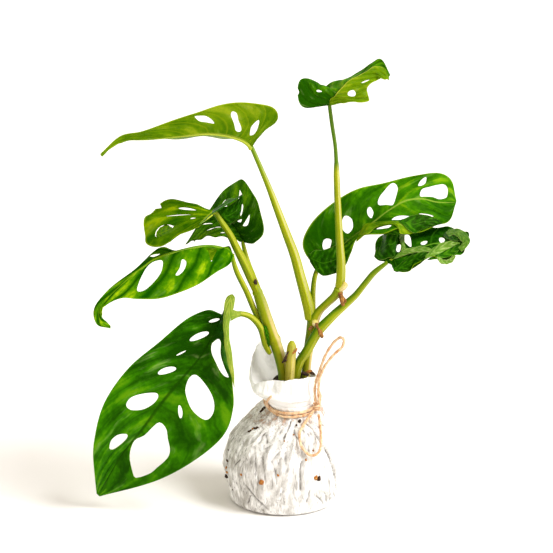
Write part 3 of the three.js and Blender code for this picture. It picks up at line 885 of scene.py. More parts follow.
@dataclass
class Fold:
    """A margin or lobe of a leaf that is turned over in front of the rest of the blade.

    Attributes:
        name: The piece's name.
        finish: The finish of both its faces.
        bow: How far its middle stands towards the viewer's side, in millimetres.
        edges: Rows of x, y and z of two opposite edge points in millimetres, from one end to the other.
    """

    name: str
    finish: LeafFinish
    bow: float
    edges: Rows

    def build(self) -> Piece:
        """Makes the fold as a small blade of its own.

        Returns:
            The finished piece.
        """
        stations = []
        for i, edge in enumerate(self.edges):
            bow = self.bow * math.sin(math.pi * i / (len(self.edges) - 1))
            middle = [(a + b) / 2 for a, b in zip(edge[:3], edge[3:])]
            middle[1] -= bow
            arch = [0, -bow / 4, 0]
            stations.append([*middle, *edge, *arch, *arch])
        return LeafBlade(
            self.name, UpperFace.ALONG, self.finish, self.finish, None, stations, [], cells=(44, 14),
            thickness=0.4, quilting=0.12, ripple=0.2,
        ).build()


@dataclass(frozen=True)
class EarthFinish(Finish):
    """Damp potting fibre: matt, dark and crumbly, with straw-coloured fibres in it.

    Attributes:
        dark: The damp hollows, as sRGB hex.
        brown: The crumbs.
        straw: The fibres.
        crumb: The width of a crumb in millimetres.
    """

    dark: str
    brown: str
    straw: str
    crumb: float = 2.2

    def patterns(self, node: AddNode) -> Inputs:
        """Adds the crumbs and the fibres, which are about 1.5 mm wide.

        Args:
            node: Adds one node to the material.

        Returns:
            The inputs of its surface shader.
        """
        spot = node("TexCoord", [], "Object")
        crumbs = node("TexVoronoi", {"Vector": spot, "Scale": 1 / (self.crumb * MM)}, "Distance")
        fibres = node("TexNoise", {"Vector": spot, "Scale": 1 / (1.5 * MM), "Detail": 4.0})
        ground = node("Mix", {0: crumbs, 6: linear(self.brown), 7: linear(self.dark)}, **COLOURS)
        share = node("MapRange", [fibres, 0.6, 0.7])
        return {
            "Base Color": node("Mix", {0: share, 6: ground, 7: linear(self.straw)}, **COLOURS),
            "Roughness": 0.9,
            "Normal": node("Bump", {"Height": fibres, "Strength": 0.8, "Distance": 0.6 * MM}),
        }


@dataclass(frozen=True)
class TissueFinish(Finish):
    """Thin damp tissue: matt white, greyed by damp and painted shade; soil and painted shade darken creases.

    Attributes:
        white: The dry folds, as sRGB hex.
        damp: The grey of damp tissue, also laid on the side away from the sun as painted shade.
        crease_soil_and_shade: The brown-grey at the bottom of the creases, of soil and painted shade.
        soil: The brown of the smears under the tie.
        smears: The heights in millimetres between which the smears rise and fade.
    """

    white: str
    damp: str
    crease_soil_and_shade: str
    soil: str
    smears: tuple[float, float, float, float] = (56, 61, 64, 68)

    def patterns(self, node: AddNode) -> Inputs:
        """Adds grey blotches, wrinkles, smears and crinkles, by the piece's own valley and damp attributes.

        Args:
            node: Adds one node to the material.

        Returns:
            The inputs of its surface shader.
        """
        spot = node("TexCoord", [], "Object")
        valley = node("Attribute", [], "Fac", attribute_name="valley")
        damp = node("Attribute", [], "Fac", attribute_name="damp")
        # Grey blotches about 5 mm wide, drawn out down the folds: damp, and painted shade away from the sun.
        down = node("Mapping", {"Vector": spot, "Scale": (1 / (5 * MM), 1 / (5 * MM), 1 / (12 * MM))})
        blotch = node("TexNoise", {"Vector": down, "Scale": 1.0, "Detail": 6.0, "Roughness": 0.65})
        damp_and_shade_blotches = node("Math", [node("MapRange", [blotch, 0.34, 0.64], **SMOOTH), damp], **TIMES)
        # Fine wrinkles of soil showing and painted shade, about 1 mm wide and 9 mm long, leaning a little.
        fine = 1 / (1.1 * MM)
        long = 1 / (9 * MM)
        lean = node("Mapping", {"Vector": spot, "Rotation": (0.0, 0.35, 0.0), "Scale": (fine, fine, long)})
        wrinkle = node("TexNoise", {"Vector": lean, "Scale": 1.0, "Detail": 3.0, "Distortion": 0.6})
        lines = node("Math", [node("MapRange", [wrinkle, 0.54, 0.68, 0.0, 0.8], **SMOOTH), damp], **TIMES)
        broken = node("Math", [node("MapRange", [blotch, 0.3, 0.6], **SMOOTH), 0.6, 0.4], **TIMES_PLUS)
        # Creases go dark where soil shows and where their shade is painted.
        dark = node("Math", [lines, node("Math", [valley, broken], **TIMES)], operation="MAXIMUM")
        # Brown smears in the few millimetres under the tie.
        height = node("SeparateXYZ", [spot], "Z")
        rise, full, ebb, gone = (level * MM for level in self.smears)
        above = node("MapRange", [height, rise, full], **SMOOTH)
        below = node("MapRange", [height, ebb, gone, 1.0, 0.0], **SMOOTH)
        under_tie = node("Math", [above, below], **TIMES)
        smudge = node("MapRange", [blotch, 0.5, 0.62, 0.0, 0.75], **SMOOTH)
        colour = linear(self.white)
        for share, coat in (
            (damp_and_shade_blotches, self.damp),
            (node("Math", [dark, 0.85], **TIMES), self.crease_soil_and_shade),
            (node("Math", [under_tie, smudge], **TIMES), self.soil),
        ):
            colour = node("Mix", {0: share, 6: colour, 7: linear(coat)}, **COLOURS)
        # Crinkles of thin paper, about 1.2 mm wide.
        crinkle = node("TexNoise", {"Vector": spot, "Scale": 1 / (1.2 * MM), "Detail": 5.0})
        relief = node("Math", [crinkle, node("Math", [dark, 0.8], **TIMES)], **MINUS)
        return {
            "Base Color": colour,
            "Roughness": 0.75,
            "Specular IOR Level": 0.2,
            "Normal": node("Bump", {"Height": relief, "Strength": 0.6, "Distance": 0.5 * MM}),
            "Subsurface Weight": 0.35,
            "Subsurface Radius": (1.0, 0.97, 0.92),
            "Subsurface Scale": 1.5 * MM,
        }


@dataclass(frozen=True)
class JuteFinish(Finish):
    """Jute twine: spun plant fibre, straw to orange-brown, matt and hairy.

    Attributes:
        light: The outside of each strand, as sRGB hex.
        dark: Between the strands and fibres.
        roughness: Matt.
    """

    light: str
    dark: str
    roughness: float = 0.8

    def patterns(self, node: AddNode) -> Inputs:
        """Adds fibres that follow the twist by the piece's own UV map, with paler and darker lengths.

        Args:
            node: Adds one node to the material.

        Returns:
            The inputs of its surface shader.
        """
        layout = node("UVMap", [], uv_map="UVMap")
        spot = node("TexCoord", [], "Object")
        # Fibres about 0.3 mm wide, laid at a slant round the strand.
        laid = {"Vector": layout, "Scale": (14.0, 30.0, 1.0), "Rotation": (0.0, 0.0, math.radians(35))}
        fibres = node("TexNoise", {"Vector": node("Mapping", laid), "Scale": 2.0, "Detail": 3.0})
        blotch = node("TexNoise", {"Vector": spot, "Scale": 1 / (3 * MM), "Detail": 3.0})
        share = node("MapRange", [node("Math", [fibres, blotch], **PLUS), 0.8, 1.25])
        return {
            "Base Color": node("Mix", {0: share, 6: linear(self.light), 7: linear(self.dark)}, **COLOURS),
            "Roughness": self.roughness,
            "Normal": node("Bump", {"Height": fibres, "Strength": 0.6, "Distance": 0.2 * MM}),
            "Sheen Weight": 0.3,
            "Sheen Roughness": 0.5,
        }


@dataclass(frozen=True)
class FloorFinish(Finish):
    """Matt white paper: rough, with hardly any gloss.

    Attributes:
        white: Its colour, as sRGB hex.
    """

    white: str

    def patterns(self, node: AddNode) -> Inputs:
        """Gives the plain white."""
        return {"Base Color": linear(self.white), "Roughness": 0.9, "Specular IOR Level": 0.2}


def channelled(depth: float, sheath_end: float) -> Section:
    """Gives a stalk's section: a channel between two ridges, deeper and winged in its lower part.

    Args:
        depth: How deep the channel is, as a share of the radius.
        sheath_end: How far along the stalk its wings reach, from 0 to 1.

    Returns:
        The section.
    """

    def section(angle: Numbers, along: Numbers) -> Numbers:
        """Gives the radius as a share of the round one.

        Args:
            angle: Radians round the tube.
            along: From 0 to 1.

        Returns:
            The shares.
        """
        wing = 0.45 + 0.55 * (1 - smooth_step(along, sheath_end - 0.12, sheath_end + 0.02))
        channel = np.exp(-((angle / 0.32) ** 2))
        ridges = np.exp(-(((np.abs(angle) - 0.62) / 0.22) ** 2))
        return 1 + depth * wing * (0.55 * ridges - channel)

    return section


def ringed(places: list[float], height: float) -> Section:
    """Gives a vine's section, which swells at its joints.

    Args:
        places: Where the joints are, from 0 to 1.
        height: The swelling as a share of the radius.

    Returns:
        The section.
    """

    def section(angle: Numbers, along: Numbers) -> Numbers:
        """Gives the radius as a share of the round one."""
        rings = sum(np.exp(-(((along - place) / 0.018) ** 2)) for place in places)
        return 1 + height * rings + 0.03 * np.sin(3 * angle + 8 * along)

    return section


def gnarled(height: float, seed: float) -> Section:
    """Gives a rough root's section.

    Args:
        height: The lumps as a share of the radius.
        seed: Moves the lumps.

    Returns:
        The section.
    """

    def section(angle: Numbers, along: Numbers) -> Numbers:
        """Gives the radius as a share of the round one."""
        spots = np.column_stack([np.cos(angle), np.sin(angle), along * 7])
        return 1 + height * soft_noise(spots, 0.8, seed)

    return section


def tube_along(name: str, points: Rows, **shape: object) -> Piece:
    """Makes a tube, with its shape's other sizes, through rows of x, y, z and radius in millimetres."""
    return Tube(name, [point[:3] for point in points], [point[3] for point in points], **shape).build()


@dataclass
class Stem:
    """A vine, a shoot or a leaf stalk.

    Attributes:
        name: The solid's name.
        slot: The material slot.
        finish: Its finish.
        section: Its section.
        points: Rows of x, y, z and radius in millimetres, from the bottom up.
        side: Where its channel faces.
        steps: Cells along it.
    """

    name: str
    slot: str
    finish: StalkFinish
    section: Section
    points: Rows
    side: Triple = (0.75, -0.65, 0.0)
    steps: int = 120

    def build(self) -> None:
        """Makes and dresses the stem."""
        shape = {"sides": 28, "rows": self.steps, "section": self.section, "side": self.side}
        self.finish.dress(tube_along(self.name + "_live", self.points, **shape), self.slot, [self.name])


@dataclass
class Stubs:
    """Short roots, stubs, scars and loose fibres at the joints of the vines.

    Attributes:
        name: The piece's name.
        finish: The finish.
        replaced: The solids that it stands for.
        lines: Each one's rows of x, y, z and radius in millimetres.
        slot: The material slot.
        gnarl: Its lumps as a share of the radius.
    """

    name: str
    finish: EarthFinish | StalkFinish
    replaced: list[str]
    lines: list[Rows]
    slot: str = "aerial_root"
    gnarl: float = 0.3

    def build(self) -> None:
        """Makes and dresses them."""
        tubes = []
        for i, points in enumerate(self.lines):
            section = gnarled(self.gnarl, 3.7 * i)
            tubes.append(tube_along(f"{self.name}_{i}", points, sides=12, rows=18, section=section, cap=0.15))
        self.finish.dress(join_pieces(self.name, tubes), self.slot, self.replaced)


@dataclass
class RootBall:
    """Soil and roots: a plain body inside the tissue with a crumbly top between the stems.

    Attributes:
        levels: Rows of height, radius, middle x and tilt in millimetres, from the bottom up.
        finish: The finish.
        crumb: The height of the crumbs in millimetres.
        cells: Cells round it, and from the middle of its base to the middle of its top.
        base_share: The share of those rows that closes the base.
        side_share: The share of those rows that base and side take together.
    """

    levels: Rows
    finish: EarthFinish
    crumb: float = 1.1
    cells: tuple[int, int] = (96, 120)
    base_share: float = 0.03
    side_share: float = 0.72

    def build(self) -> None:
        """Makes and dresses the soil."""
        ball = add_grid("root_ball_soil", *self.cells)
        spots = vertex_spots(ball)
        angle, along = math.pi * spots[:, 0], spots[:, 1]
        profile = smooth_curve(np.array(self.levels, float), np.clip(along / self.side_share, 0, 1))
        height, radius, middle, tilt = profile.T
        inward = np.clip((along - self.side_share) / (1 - self.side_share), 0, 1)
        radius = radius * (1 - inward) * np.minimum(along / self.base_share, 1)
        y = radius * np.sin(angle)
        placed = np.column_stack([middle + radius * np.cos(angle), y, height + tilt * y])
        crumbs = soft_noise(placed, 3.0, 1.3) + 0.5 * soft_noise(placed, 1.3, 4.1)
        placed[:, 2] += self.crumb * crumbs * smooth_step(inward, 0.02, 0.3)
        place_vertices(ball, placed * MM)
        close_seams(ball)
        self.finish.dress(ball, "soil", ["root_ball"])


@dataclass(frozen=True)
class Crease:
    """One fold of the tissue, a ridge or a sharp dark groove.

    Attributes:
        angle: Where its upper end lies round the ball, in radians.
        high: The height of its upper end in millimetres.
        low: The height of its lower end.
        lean: How far it turns round the ball on its way down, in radians.
        width: Its half width in millimetres.
        rise: How far it stands out, below 0 for a groove.
        sway: How far it wavers, in millimetres.
    """

    angle: float
    high: float
    low: float
    lean: float
    width: float
    rise: float
    sway: float = 0.8

    def lift(self, angle: Numbers, height: Numbers, radius: Numbers) -> Numbers:
        """Gives how far it moves the tissue outwards.

        Args:
            angle: Radians round the ball.
            height: Millimetres above the floor.
            radius: The plain ball's radius there in millimetres.

        Returns:
            Millimetres.
        """
        down = np.clip((self.high - height) / (self.high - self.low), -0.2, 1.2)
        line = self.angle + self.lean * down + self.sway / BALL_RADIUS * np.sin(5 * down + 7 * self.angle)
        turn = (angle - line + math.pi) % (2 * math.pi) - math.pi
        spread = self.width * (0.6 + 0.7 * np.clip(down, 0, 1))
        crest = np.exp(-(np.abs(turn * radius / spread) ** 1.3))
        ends = smooth_step(down, -0.06, 0.12) * (1 - smooth_step(down, 0.6, 1.05))
        return self.rise * crest * ends


@dataclass
class TissueWrap:
    """The gathered tissue: a creased bag with an open, crumpled collar above the tie.

    One closed sheet runs from under the ball up the outside, over the rim and down the inside again. Its
    inner face is plain below the neck, where the soil hides it.

    Attributes:
        levels: Rows of height, radius, middle x and tilt in millimetres, from the base to the rim.
        rim: Rows of angle in degrees and how far the rim stands above the last level there, once round.
        folds: The listed folds.
        finish: The finish.
        neck_height: The tie's height in millimetres.
        ridge_count: Ridges that gather at the neck, drawn at random.
        groove_count: Short creases all over, drawn at random.
        seed: Seeds the random folds.
        columns: Cells round the ball.
        outer_rows: Cells up the outside.
        inner_rows: Cells down the inside.
        base_share: The share of the outside's rows that closes the base.
    """

    levels: Rows
    rim: Rows
    folds: list[Crease]
    finish: TissueFinish
    neck_height: float = NECK_HEIGHT
    ridge_count: int = 38
    groove_count: int = 120
    seed: int = 5
    columns: int = 400
    outer_rows: int = 176
    inner_rows: int = 42
    base_share: float = 0.06

    def creases(self) -> list[Crease]:
        """Draws the random folds.

        Returns:
            The placed folds and the drawn ones.
        """
        draw = np.random.default_rng(self.seed)
        made = list(self.folds)
        for i in range(self.ridge_count):
            angle = 2 * math.pi * (i + draw.uniform(-0.35, 0.35)) / self.ridge_count
            low = self.neck_height - draw.uniform(16, 62)
            rise = draw.uniform(0.7, 1.9)
            lean = draw.normal(-0.1, 0.14)
            made.append(Crease(angle, self.neck_height + 4, low, lean, draw.uniform(1.2, 2.4), rise))
        for _ in range(self.groove_count):
            high = draw.uniform(12, self.neck_height - 4)
            low = high - draw.uniform(7, 20)
            angle = draw.uniform(-math.pi, math.pi)
            lean = draw.normal(0, 0.12)
            rise = draw.choice([-1.0, 0.7]) * draw.uniform(0.5, 1.2)
            made.append(Crease(angle, high, low, lean, draw.uniform(0.7, 1.2), rise, draw.uniform(0.3, 1.2)))
        return made

    def build(self) -> Piece:
        """Makes and dresses the tissue.

        Returns:
            The finished piece.
        """
        rows = self.outer_rows + self.inner_rows
        wrap = add_grid("tissue_wrap_paper", self.columns, rows)
        spots = vertex_spots(wrap)
        angle = math.pi * spots[:, 0]
        row = np.rint(spots[:, 1] * rows)
        column = np.rint((spots[:, 0] + 1) / 2 * self.columns).astype(int)
        inside = row > self.outer_rows
        along = np.where(inside, (rows - row) / self.inner_rows, row / self.outer_rows)
        # The inside takes half its rows down to the neck and the rest to the middle of the base.
        along = np.where(inside, np.where(along > 0.5, 0.74 + 0.52 * (along - 0.5), 1.48 * along), along)
        climbed = np.clip((along - self.base_share) / (1 - self.base_share), 0, 1)
        profile = smooth_curve(np.array(self.levels, float), climbed)
        height, radius, middle, tilt = profile.T
        rim = np.array(self.rim, float)
        around = np.degrees(angle) % 360
        stand = smooth_curve(rim[:, 1:], np.interp(around, rim[:, 0], np.linspace(0, 1, len(rim))))[:, 0]
        collar = smooth_step(height, self.neck_height + 4, self.neck_height + 20)
        height = height + stand * collar
        ring = np.column_stack([radius * np.cos(angle), radius * np.sin(angle), height])
        lift = sum(crease.lift(angle, height, radius) for crease in self.creases())
        drawn = ring * np.array([1.0, 1.0, 0.4])
        crinkle = soft_noise(drawn, 4.0, 7.0) + 0.5 * soft_noise(drawn, 1.8, 9.0)
        swell = soft_noise(ring, 15, 2.0)
        flutter = collar * (1.2 * np.sin(5 * angle + 0.8) + 0.9 * np.sin(8 * angle + 2.0) + 0.9 * crinkle)
        foot = smooth_step(height, 1.0, 9)
        offset = foot * (lift - 0.5 + 0.8 * swell + 0.35 * crinkle) * (1 - 0.5 * collar) + flutter
        # The collar is folded once across the front, a little above the tie.
        front = np.clip(-np.sin(angle + 0.3), 0, 1)
        fold_line = self.neck_height + 11 - 3 * np.cos(angle)
        offset += 1.7 * front * np.exp(-(((height - fold_line) / 1.8) ** 2))
        offset -= 1.2 * front * np.exp(-(((height - fold_line + 4.4) / 1.8) ** 2))
        offset *= 1 - 0.85 * np.exp(-(((height - self.neck_height) / 3.0) ** 2))
        within = 0.35 + 2.6 * (1 - smooth_step(height, self.neck_height - 12, self.neck_height + 8))
        offset = np.where(inside, offset * collar - within, offset)
        reach = np.maximum(radius + offset, 0.5) * np.minimum(along / self.base_share, 1)
        y = reach * np.sin(angle)
        base = np.where(inside, 0.5 * (1 - smooth_step(height, 0, 6)), 0)
        z = np.maximum(height + tilt * y, 0) + base
        place_vertices(wrap, np.column_stack([middle + reach * np.cos(angle), y, z]) * MM)
        self.mark(wrap, row.astype(int), column, np.where(inside, 0, offset), ring)
        close_seams(wrap)
        self.finish.dress(wrap, "tissue", ["tissue_wrap"], PLEAT_ANGLE)
        return wrap

    def mark(self, wrap: Piece, row: Numbers, column: Numbers, offset: Numbers, ring: Numbers) -> None:
        """Writes each vertex's valley depth and damp level, which paints shade too, for the material.

        Args:
            wrap: The sheet.
            row: Each vertex's row.
            column: Its column.
            offset: How far the folds move it outwards.
            ring: Its place on the plain ball.
        """
        outwards = np.zeros((row.max() + 1, column.max() + 1))
        outwards[row, column] = offset
        blurred = outwards
        for _ in range(6):
            beside = blurred + np.roll(blurred, 1, 1) + np.roll(blurred, -1, 1)
            blurred = (beside + np.roll(blurred, 1, 0)) / 4
        valley = smooth_step((blurred - outwards)[row, column], 0.1, 0.55)
        below = 1 - smooth_step(ring[:, 2], self.neck_height - 4, self.neck_height + 2)
        wrap.data.attributes.new("valley", "FLOAT", "POINT").data.foreach_set("value", valley * below)
        # The damp level rises towards the left, away from the sun: painted shade as well as damp.
        side = 0.66 - 0.34 * ring[:, 0] / 40
        level = np.clip(side + 0.45 * soft_noise(ring, 22, 5.0), 0.05, 1) * below
        wrap.data.attributes.new("damp", "FLOAT", "POINT").data.foreach_set("value", level)


@dataclass
class Twine:
    """Two-ply jute twine laid along a path.

    Attributes:
        name: The piece's name.
        path: Points in millimetres.
        finish: The finish.
        diameter: Millimetres.
        pitch: Millimetres for one turn of the twist.
        hairs: Loose fibres along it.
        seed: Seeds the fibres.
    """

    name: str
    path: Rows
    finish: JuteFinish
    diameter: float = 2.0
    pitch: float = 6.5
    hairs: int = 50
    seed: int = 1

    def line(self, count: int = 400) -> Numbers:
        """Gives points along the twine, in metres."""
        return smooth_curve(np.array(self.path, float), np.linspace(0, 1, count)) * MM

    def length(self) -> float:
        """Gives the twine's length in metres."""
        return float(np.linalg.norm(np.diff(self.line(), axis=0), axis=1).sum())

    def strands(self) -> Piece:
        """Makes the twisted strands.

        Returns:
            The strands, with their material.
        """
        turns = self.length() / (self.pitch * MM)

        def section(angle: Numbers, along: Numbers) -> Numbers:
            """Sets two plies side by side, turning along the twine, by shares of the round radius."""
            ply = np.abs(np.cos(angle - 2 * math.pi * turns * along / 2))
            return 0.7 + 0.3 * ply**0.8

        rows = int(self.length() / (0.4 * MM))
        radii = [self.diameter / 2] * len(self.path)
        tube = Tube(self.name, self.path, radii, rows=rows, section=section, cap=0.01).build()
        tube.data.materials.append(self.finish.material())
        return tube

    def fuzz(self) -> list[Piece]:
        """Makes the loose fibres.

        Returns:
            The fibres.
        """
        draw = np.random.default_rng(self.seed)
        line = self.line()
        tangents = unit(np.gradient(line, axis=0))
        look = self.finish.material()
        made = []
        for _ in range(self.hairs):
            at = int(draw.integers(4, len(line) - 4))
            outward = unit(np.cross(tangents[at], draw.normal(size=3))[None])[0]
            forward = tangents[at] * draw.choice([-1, 1])
            root = line[at] / MM + outward * self.diameter * 0.4
            reach = draw.uniform(1.2, 3.2)
            middle = root + forward * reach * 0.6 + outward * reach * 0.25
            tip = root + forward * reach + outward * reach * draw.uniform(0.1, 0.7)
            path = [root.tolist(), middle.tolist(), tip.tolist()]
            hair = Tube(self.name + "_hair", path, [0.09, 0.07, 0.03], sides=3, rows=4, cap=0.1).build()
            hair.data.materials.append(look)
            made.append(hair)
        return made


@dataclass(frozen=True)
class TwineTie:
    """The twine at the neck: two turns round it, their knot, a loose end and two free loops.

    Attributes:
        loops: Each free loop's name and path in millimetres.
        end: The loose end's path.
        finish: The finish.
        middle: The x of the neck's middle in millimetres.
        height: The neck's height.
        tilt: How much higher the neck lies for each millimetre further back.
        radius: The turns' radius.
        lay: How far each turn lies above the neck's height.
        knot: The knot's middle.
        steps: Steps once round the neck.
        knot_steps: Steps along the knot's turns, and for one of them.
    """

    loops: dict[str, Rows]
    end: Rows
    finish: JuteFinish
    middle: float = 7.0
    height: float = NECK_HEIGHT
    tilt: float = 0.32
    radius: float = 19.0
    lay: tuple[float, float] = (-0.95, 0.95)
    knot: Triple = (23.4, -12.8, 69.6)
    steps: int = 24
    knot_steps: tuple[int, int] = (28, 10)

    def turn(self, number: int) -> Twine:
        """Lays one turn round the neck, from the knot to the knot, a little out of true.

        Args:
            number: Which turn.

        Returns:
            The turn.
        """
        path = []
        for step in range(self.steps + 1):
            angle = math.atan2(self.knot[1], self.knot[0] - self.middle) + 2 * math.pi * step / self.steps
            from_knot = min(step, self.steps - step)
            spread = self.lay[number] * (1 + 0.7 * math.exp(-(from_knot**2) / 6))
            radius = self.radius + 0.25 * math.sin(3 * angle + number)
            y = radius * math.sin(angle)
            z = self.height + self.tilt * y + spread + 0.3 * math.sin(4 * angle + 2 * number)
            path.append([self.middle + radius * math.cos(angle), y, z])
        return Twine(f"tie_turn_{number}", path, self.finish, hairs=40, seed=21 + number)

    def knot_turns(self) -> Twine:
        """Winds the knot, an upright coil a few millimetres wide.

        Returns:
            The knot.
        """
        x, y, z = self.knot
        count, each = self.knot_steps
        path = []
        for step in range(count + 1):
            angle = 2 * math.pi * step / each
            path.append([x + 1.7 * math.cos(angle), y + 1.5 * math.sin(angle), z - 2.6 + 5.4 * step / count])
        return Twine("knot_turns", path, self.finish, hairs=16, seed=31, diameter=1.9)

    def build_loops(self) -> list[Twine]:
        """Returns:
            The loops.
        """
        made = []
        for i, (name, path) in enumerate(self.loops.items()):
            twine = Twine(name, path, self.finish, hairs=46, seed=11 + i)
            piece = twine.strands()
            piece.name = name + "_jute"
            shade(piece)
            hand_over(piece, "twine", [name])
            route = [tuple(point) for point in twine.line(120)]
            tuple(route[0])
            twine.length()
            log.info("%s is %.0f mm long", name, twine.length() / MM)
            made.append(twine)
        return made

    def build(self) -> None:
        """Makes the free loops, then the turns with their knot and loose end, then all their loose fibres."""
        loops = self.build_loops()
        end = Twine("tie_end", self.end, self.finish, hairs=10, seed=35, diameter=1.8)
        turns = [self.turn(0), self.turn(1), self.knot_turns(), end]
        tie = join_pieces("twine_tie_jute", [turn.strands() for turn in turns])
        shade(tie)
        hand_over(tie, "twine", ["twine_tie"])
        fuzz = join_pieces("twine_hairs", [hair for twine in turns + loops for hair in twine.fuzz()])
        hand_over(fuzz, "twine", [])


@dataclass
class Crumbs:
    """Bits of soil and root stuck to the tissue.

    Attributes:
        name: The piece's name.
        spots: Rows of x, z, length, width, turn and height of each bit, in millimetres and radians.
        finish: The finish.
    """

    name: str
    spots: Rows
    finish: EarthFinish

    def build(self, wrap: Piece) -> None:
        """Makes the bits and seats each on the front of the tissue.

        Args:
            wrap: The finished tissue.
        """
        made = []
        for i, (x, z, length, width, turn, height) in enumerate(self.spots):
            start = Vector((x, RAY_START, z)) * MM
            hit, place, normal, _ = wrap.ray_cast(start, Vector((0, 1, 0)))
            if not hit:
                log.warning("bit %d misses the tissue", i)
                continue
            along = normal.cross(Vector((0, 1, 0)) if abs(normal.y) < 0.9 else Vector((1, 0, 0))).normalized()
            across = normal.cross(along)
            way = along * math.cos(turn) + across * math.sin(turn)
            middle = place / MM + normal * height * 0.3
            shares = ((-0.5, 0.3), (-0.1, 0.5), (0.25, 0.45), (0.5, 0.2))
            points = [[*(middle + way * length * part), width * thick] for part, thick in shares]
            points[1][:3] = Vector(points[1][:3]) + across * width * 0.4
            section = gnarled(0.45, 1.9 * i)
            made.append(tube_along(f"{self.name}_{i}", points, sides=10, rows=10, section=section, cap=0.2))
        self.finish.dress(join_pieces(self.name, made), "aerial_root", [])


@dataclass(frozen=True)
class PhotoCamera:
    """The photograph's view: level with the leaves, looking down a little, through a long lens.

    Attributes:
        target: The point that it looks at, in millimetres.
        distance: How far away it stands, in millimetres.
        elevation: How far it looks down, in degrees.
        lens: The focal length in millimetres.
        sensor: The sensor's width in millimetres.
        clip: The nearest and farthest that it sees, in metres.
    """

    target: Triple = (-3.7, 0.0, 156.5)
    distance: float = 1000.0
    elevation: float = 12.0
    lens: float = 97.17
    sensor: float = 36.0
    clip: tuple[float, float] = (0.05, 200.0)

    def build(self) -> None:
        """Makes the camera and looks through it."""
        down = math.radians(self.elevation)
        back = Vector((0, -math.cos(down), math.sin(down))) * self.distance
        place = (Vector(self.target) + back) * MM
        deselect_all()
        bpy.ops.object.camera_add(location=place, rotation=(-back).to_track_quat("-Z", "Y").to_euler())
        camera = bpy.context.object
        camera.name = "photo_camera"
        camera.data.lens = self.lens
        camera.data.sensor_width = self.sensor
        camera.data.clip_start, camera.data.clip_end = self.clip
        bpy.context.scene.camera = camera


@dataclass(frozen=True)
class StudioLight:
    """Bright, soft studio light: a wide sun from the upper right and warm white light all round.

    Attributes:
        sun: The sun's strength.
        sun_way: The way that its light travels.
        sun_width: How wide the sun looks, in degrees, which softens the shadow.
        sky: The strength of the light all round.
        sky_hex: The colour of the light all round.
    """

    sun: float = 3.4
    sun_way: Triple = (-0.62, 0.34, -0.7)
    sun_width: float = 30.0
    sky: float = 0.78
    sky_hex: str = "#fff5e9"

    def build(self) -> None:
        """Makes the lights."""
        deselect_all()
        facing = Vector(self.sun_way).to_track_quat("-Z", "Y").to_euler()
        bpy.ops.object.light_add(type="SUN", rotation=facing)
        sun = bpy.context.object
        sun.name = "studio_sun"
        sun.data.energy = self.sun
        sun.data.angle = math.radians(self.sun_width)
        world = bpy.context.scene.world or bpy.data.worlds.new("studio")
        bpy.context.scene.world = world
        world.use_nodes = True
        tree = world.node_tree
        tree.nodes.clear()
        glow = add_node(tree, "Background", {"Color": linear(self.sky_hex), "Strength": self.sky})
        add_node(tree, "OutputWorld", {"Surface": glow})


@dataclass(frozen=True)
class StudioFloor:
    """A plain white floor that runs on behind the plant.

    Attributes:
        finish: Its finish.
        size: Its width in metres.
        gap: How far it lies below the part in metres, so that the two faces don't fight.
    """

    finish: FloorFinish
    size: float = 90.0
    gap: float = 0.0001

    def build(self) -> None:
        """Makes the floor."""
        deselect_all()
        bpy.ops.mesh.primitive_plane_add(size=self.size, location=(0, 0, -self.gap))
        floor = bpy.context.object
        floor.name = "studio_floor"
        floor.data.materials.append(self.finish.material())
        floor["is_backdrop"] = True


# Matt white paper under the plant.
WHITE_FLOOR = FloorFinish("matt_white_paper", "#fbfaf8")
# An old leaf's upper face: dark waxy green with paler streaks.
DARK_TOP = LeafFinish(
    "dark_waxy_leaf_top", "#124201", "#327503", "#66980c", "#0f4201", "#143f02", "#3c7a08", roughness=0.38,
    patches=0.6, dark_foot=0.8,
)
# The same with light from behind painted in: yellower, with hardly any gloss.
FAR_TOP = replace(
    DARK_TOP, name="far_waxy_leaf_top", deep="#1c4c01", fresh="#4a8604", blotch="#82a812", gloss=0.02
)
# A leaf with full light painted in: fresher green with yellow-green streaks.
MID_TOP = LeafFinish(
    "waxy_leaf_top", "#1c5201", "#3f7f03", "#84a80c", "#2a6002", "#8aa83a", "#8fae20", roughness=0.4,
    gloss=0.05, dark_foot=0.8, painted_sheen=0.2,
)
# A younger leaf: bright yellow-green panels between dark sunken veins.
BRIGHT_TOP = LeafFinish(
    "young_waxy_leaf_top", "#165401", "#4a8203", "#9ab40c", "#0f4601", "#7fa018", "#7aa010", roughness=0.38,
    gloss=0.0, patches=0.95, vein_strength=0.9, dark_foot=0.1, side_veins=7.0, vein_rise=0.12,
    vein_width=0.17, painted_sheen=0.14,
)
# The underside with full light painted in: matt pale olive with raised paler veins.
PALE_UNDER = LeafFinish(
    "pale_leaf_underside", "#487402", "#6f9204", "#98ac1c", "#8ca010", "#bcc444", "#9cae14", roughness=0.55,
    gloss=0.15, patches=0.8, dark_foot=0.0, painted_sheen=0.2,
)
# A younger underside, greener and quite matt, and a turned margin, paler.
YOUNG_UNDER = replace(
    PALE_UNDER, name="young_leaf_underside", deep="#3c6c02", fresh="#5f8e04", painted_sheen=0.0, gloss=0.0
)
PALE_FOLD = replace(PALE_UNDER, name="pale_turned_leaf", deep="#5c8020", fresh="#869d38", blotch="#b5b850")
# The underside of the darker leaves: olive green.
OLIVE_UNDER = LeafFinish(
    "olive_leaf_underside", "#2a5601", "#4f7e02", "#82a00a", "#64880a", "#a0b030", "#7a980c", roughness=0.5,
    gloss=0.15, vein_strength=0.4, dark_foot=0.2, painted_sheen=0.04,
)
# The leaf that lies in front on the left: olive, painted as lit where it faces the light.
NEAR_TOP = LeafFinish(
    "olive_waxy_leaf_top", "#265601", "#587f02", "#93a808", "#2f6202", "#96aa20", "#86a010", roughness=0.42,
    gloss=0.0, patches=0.8, dark_foot=0.0, side_veins=6.0, painted_sheen=0.1,
)
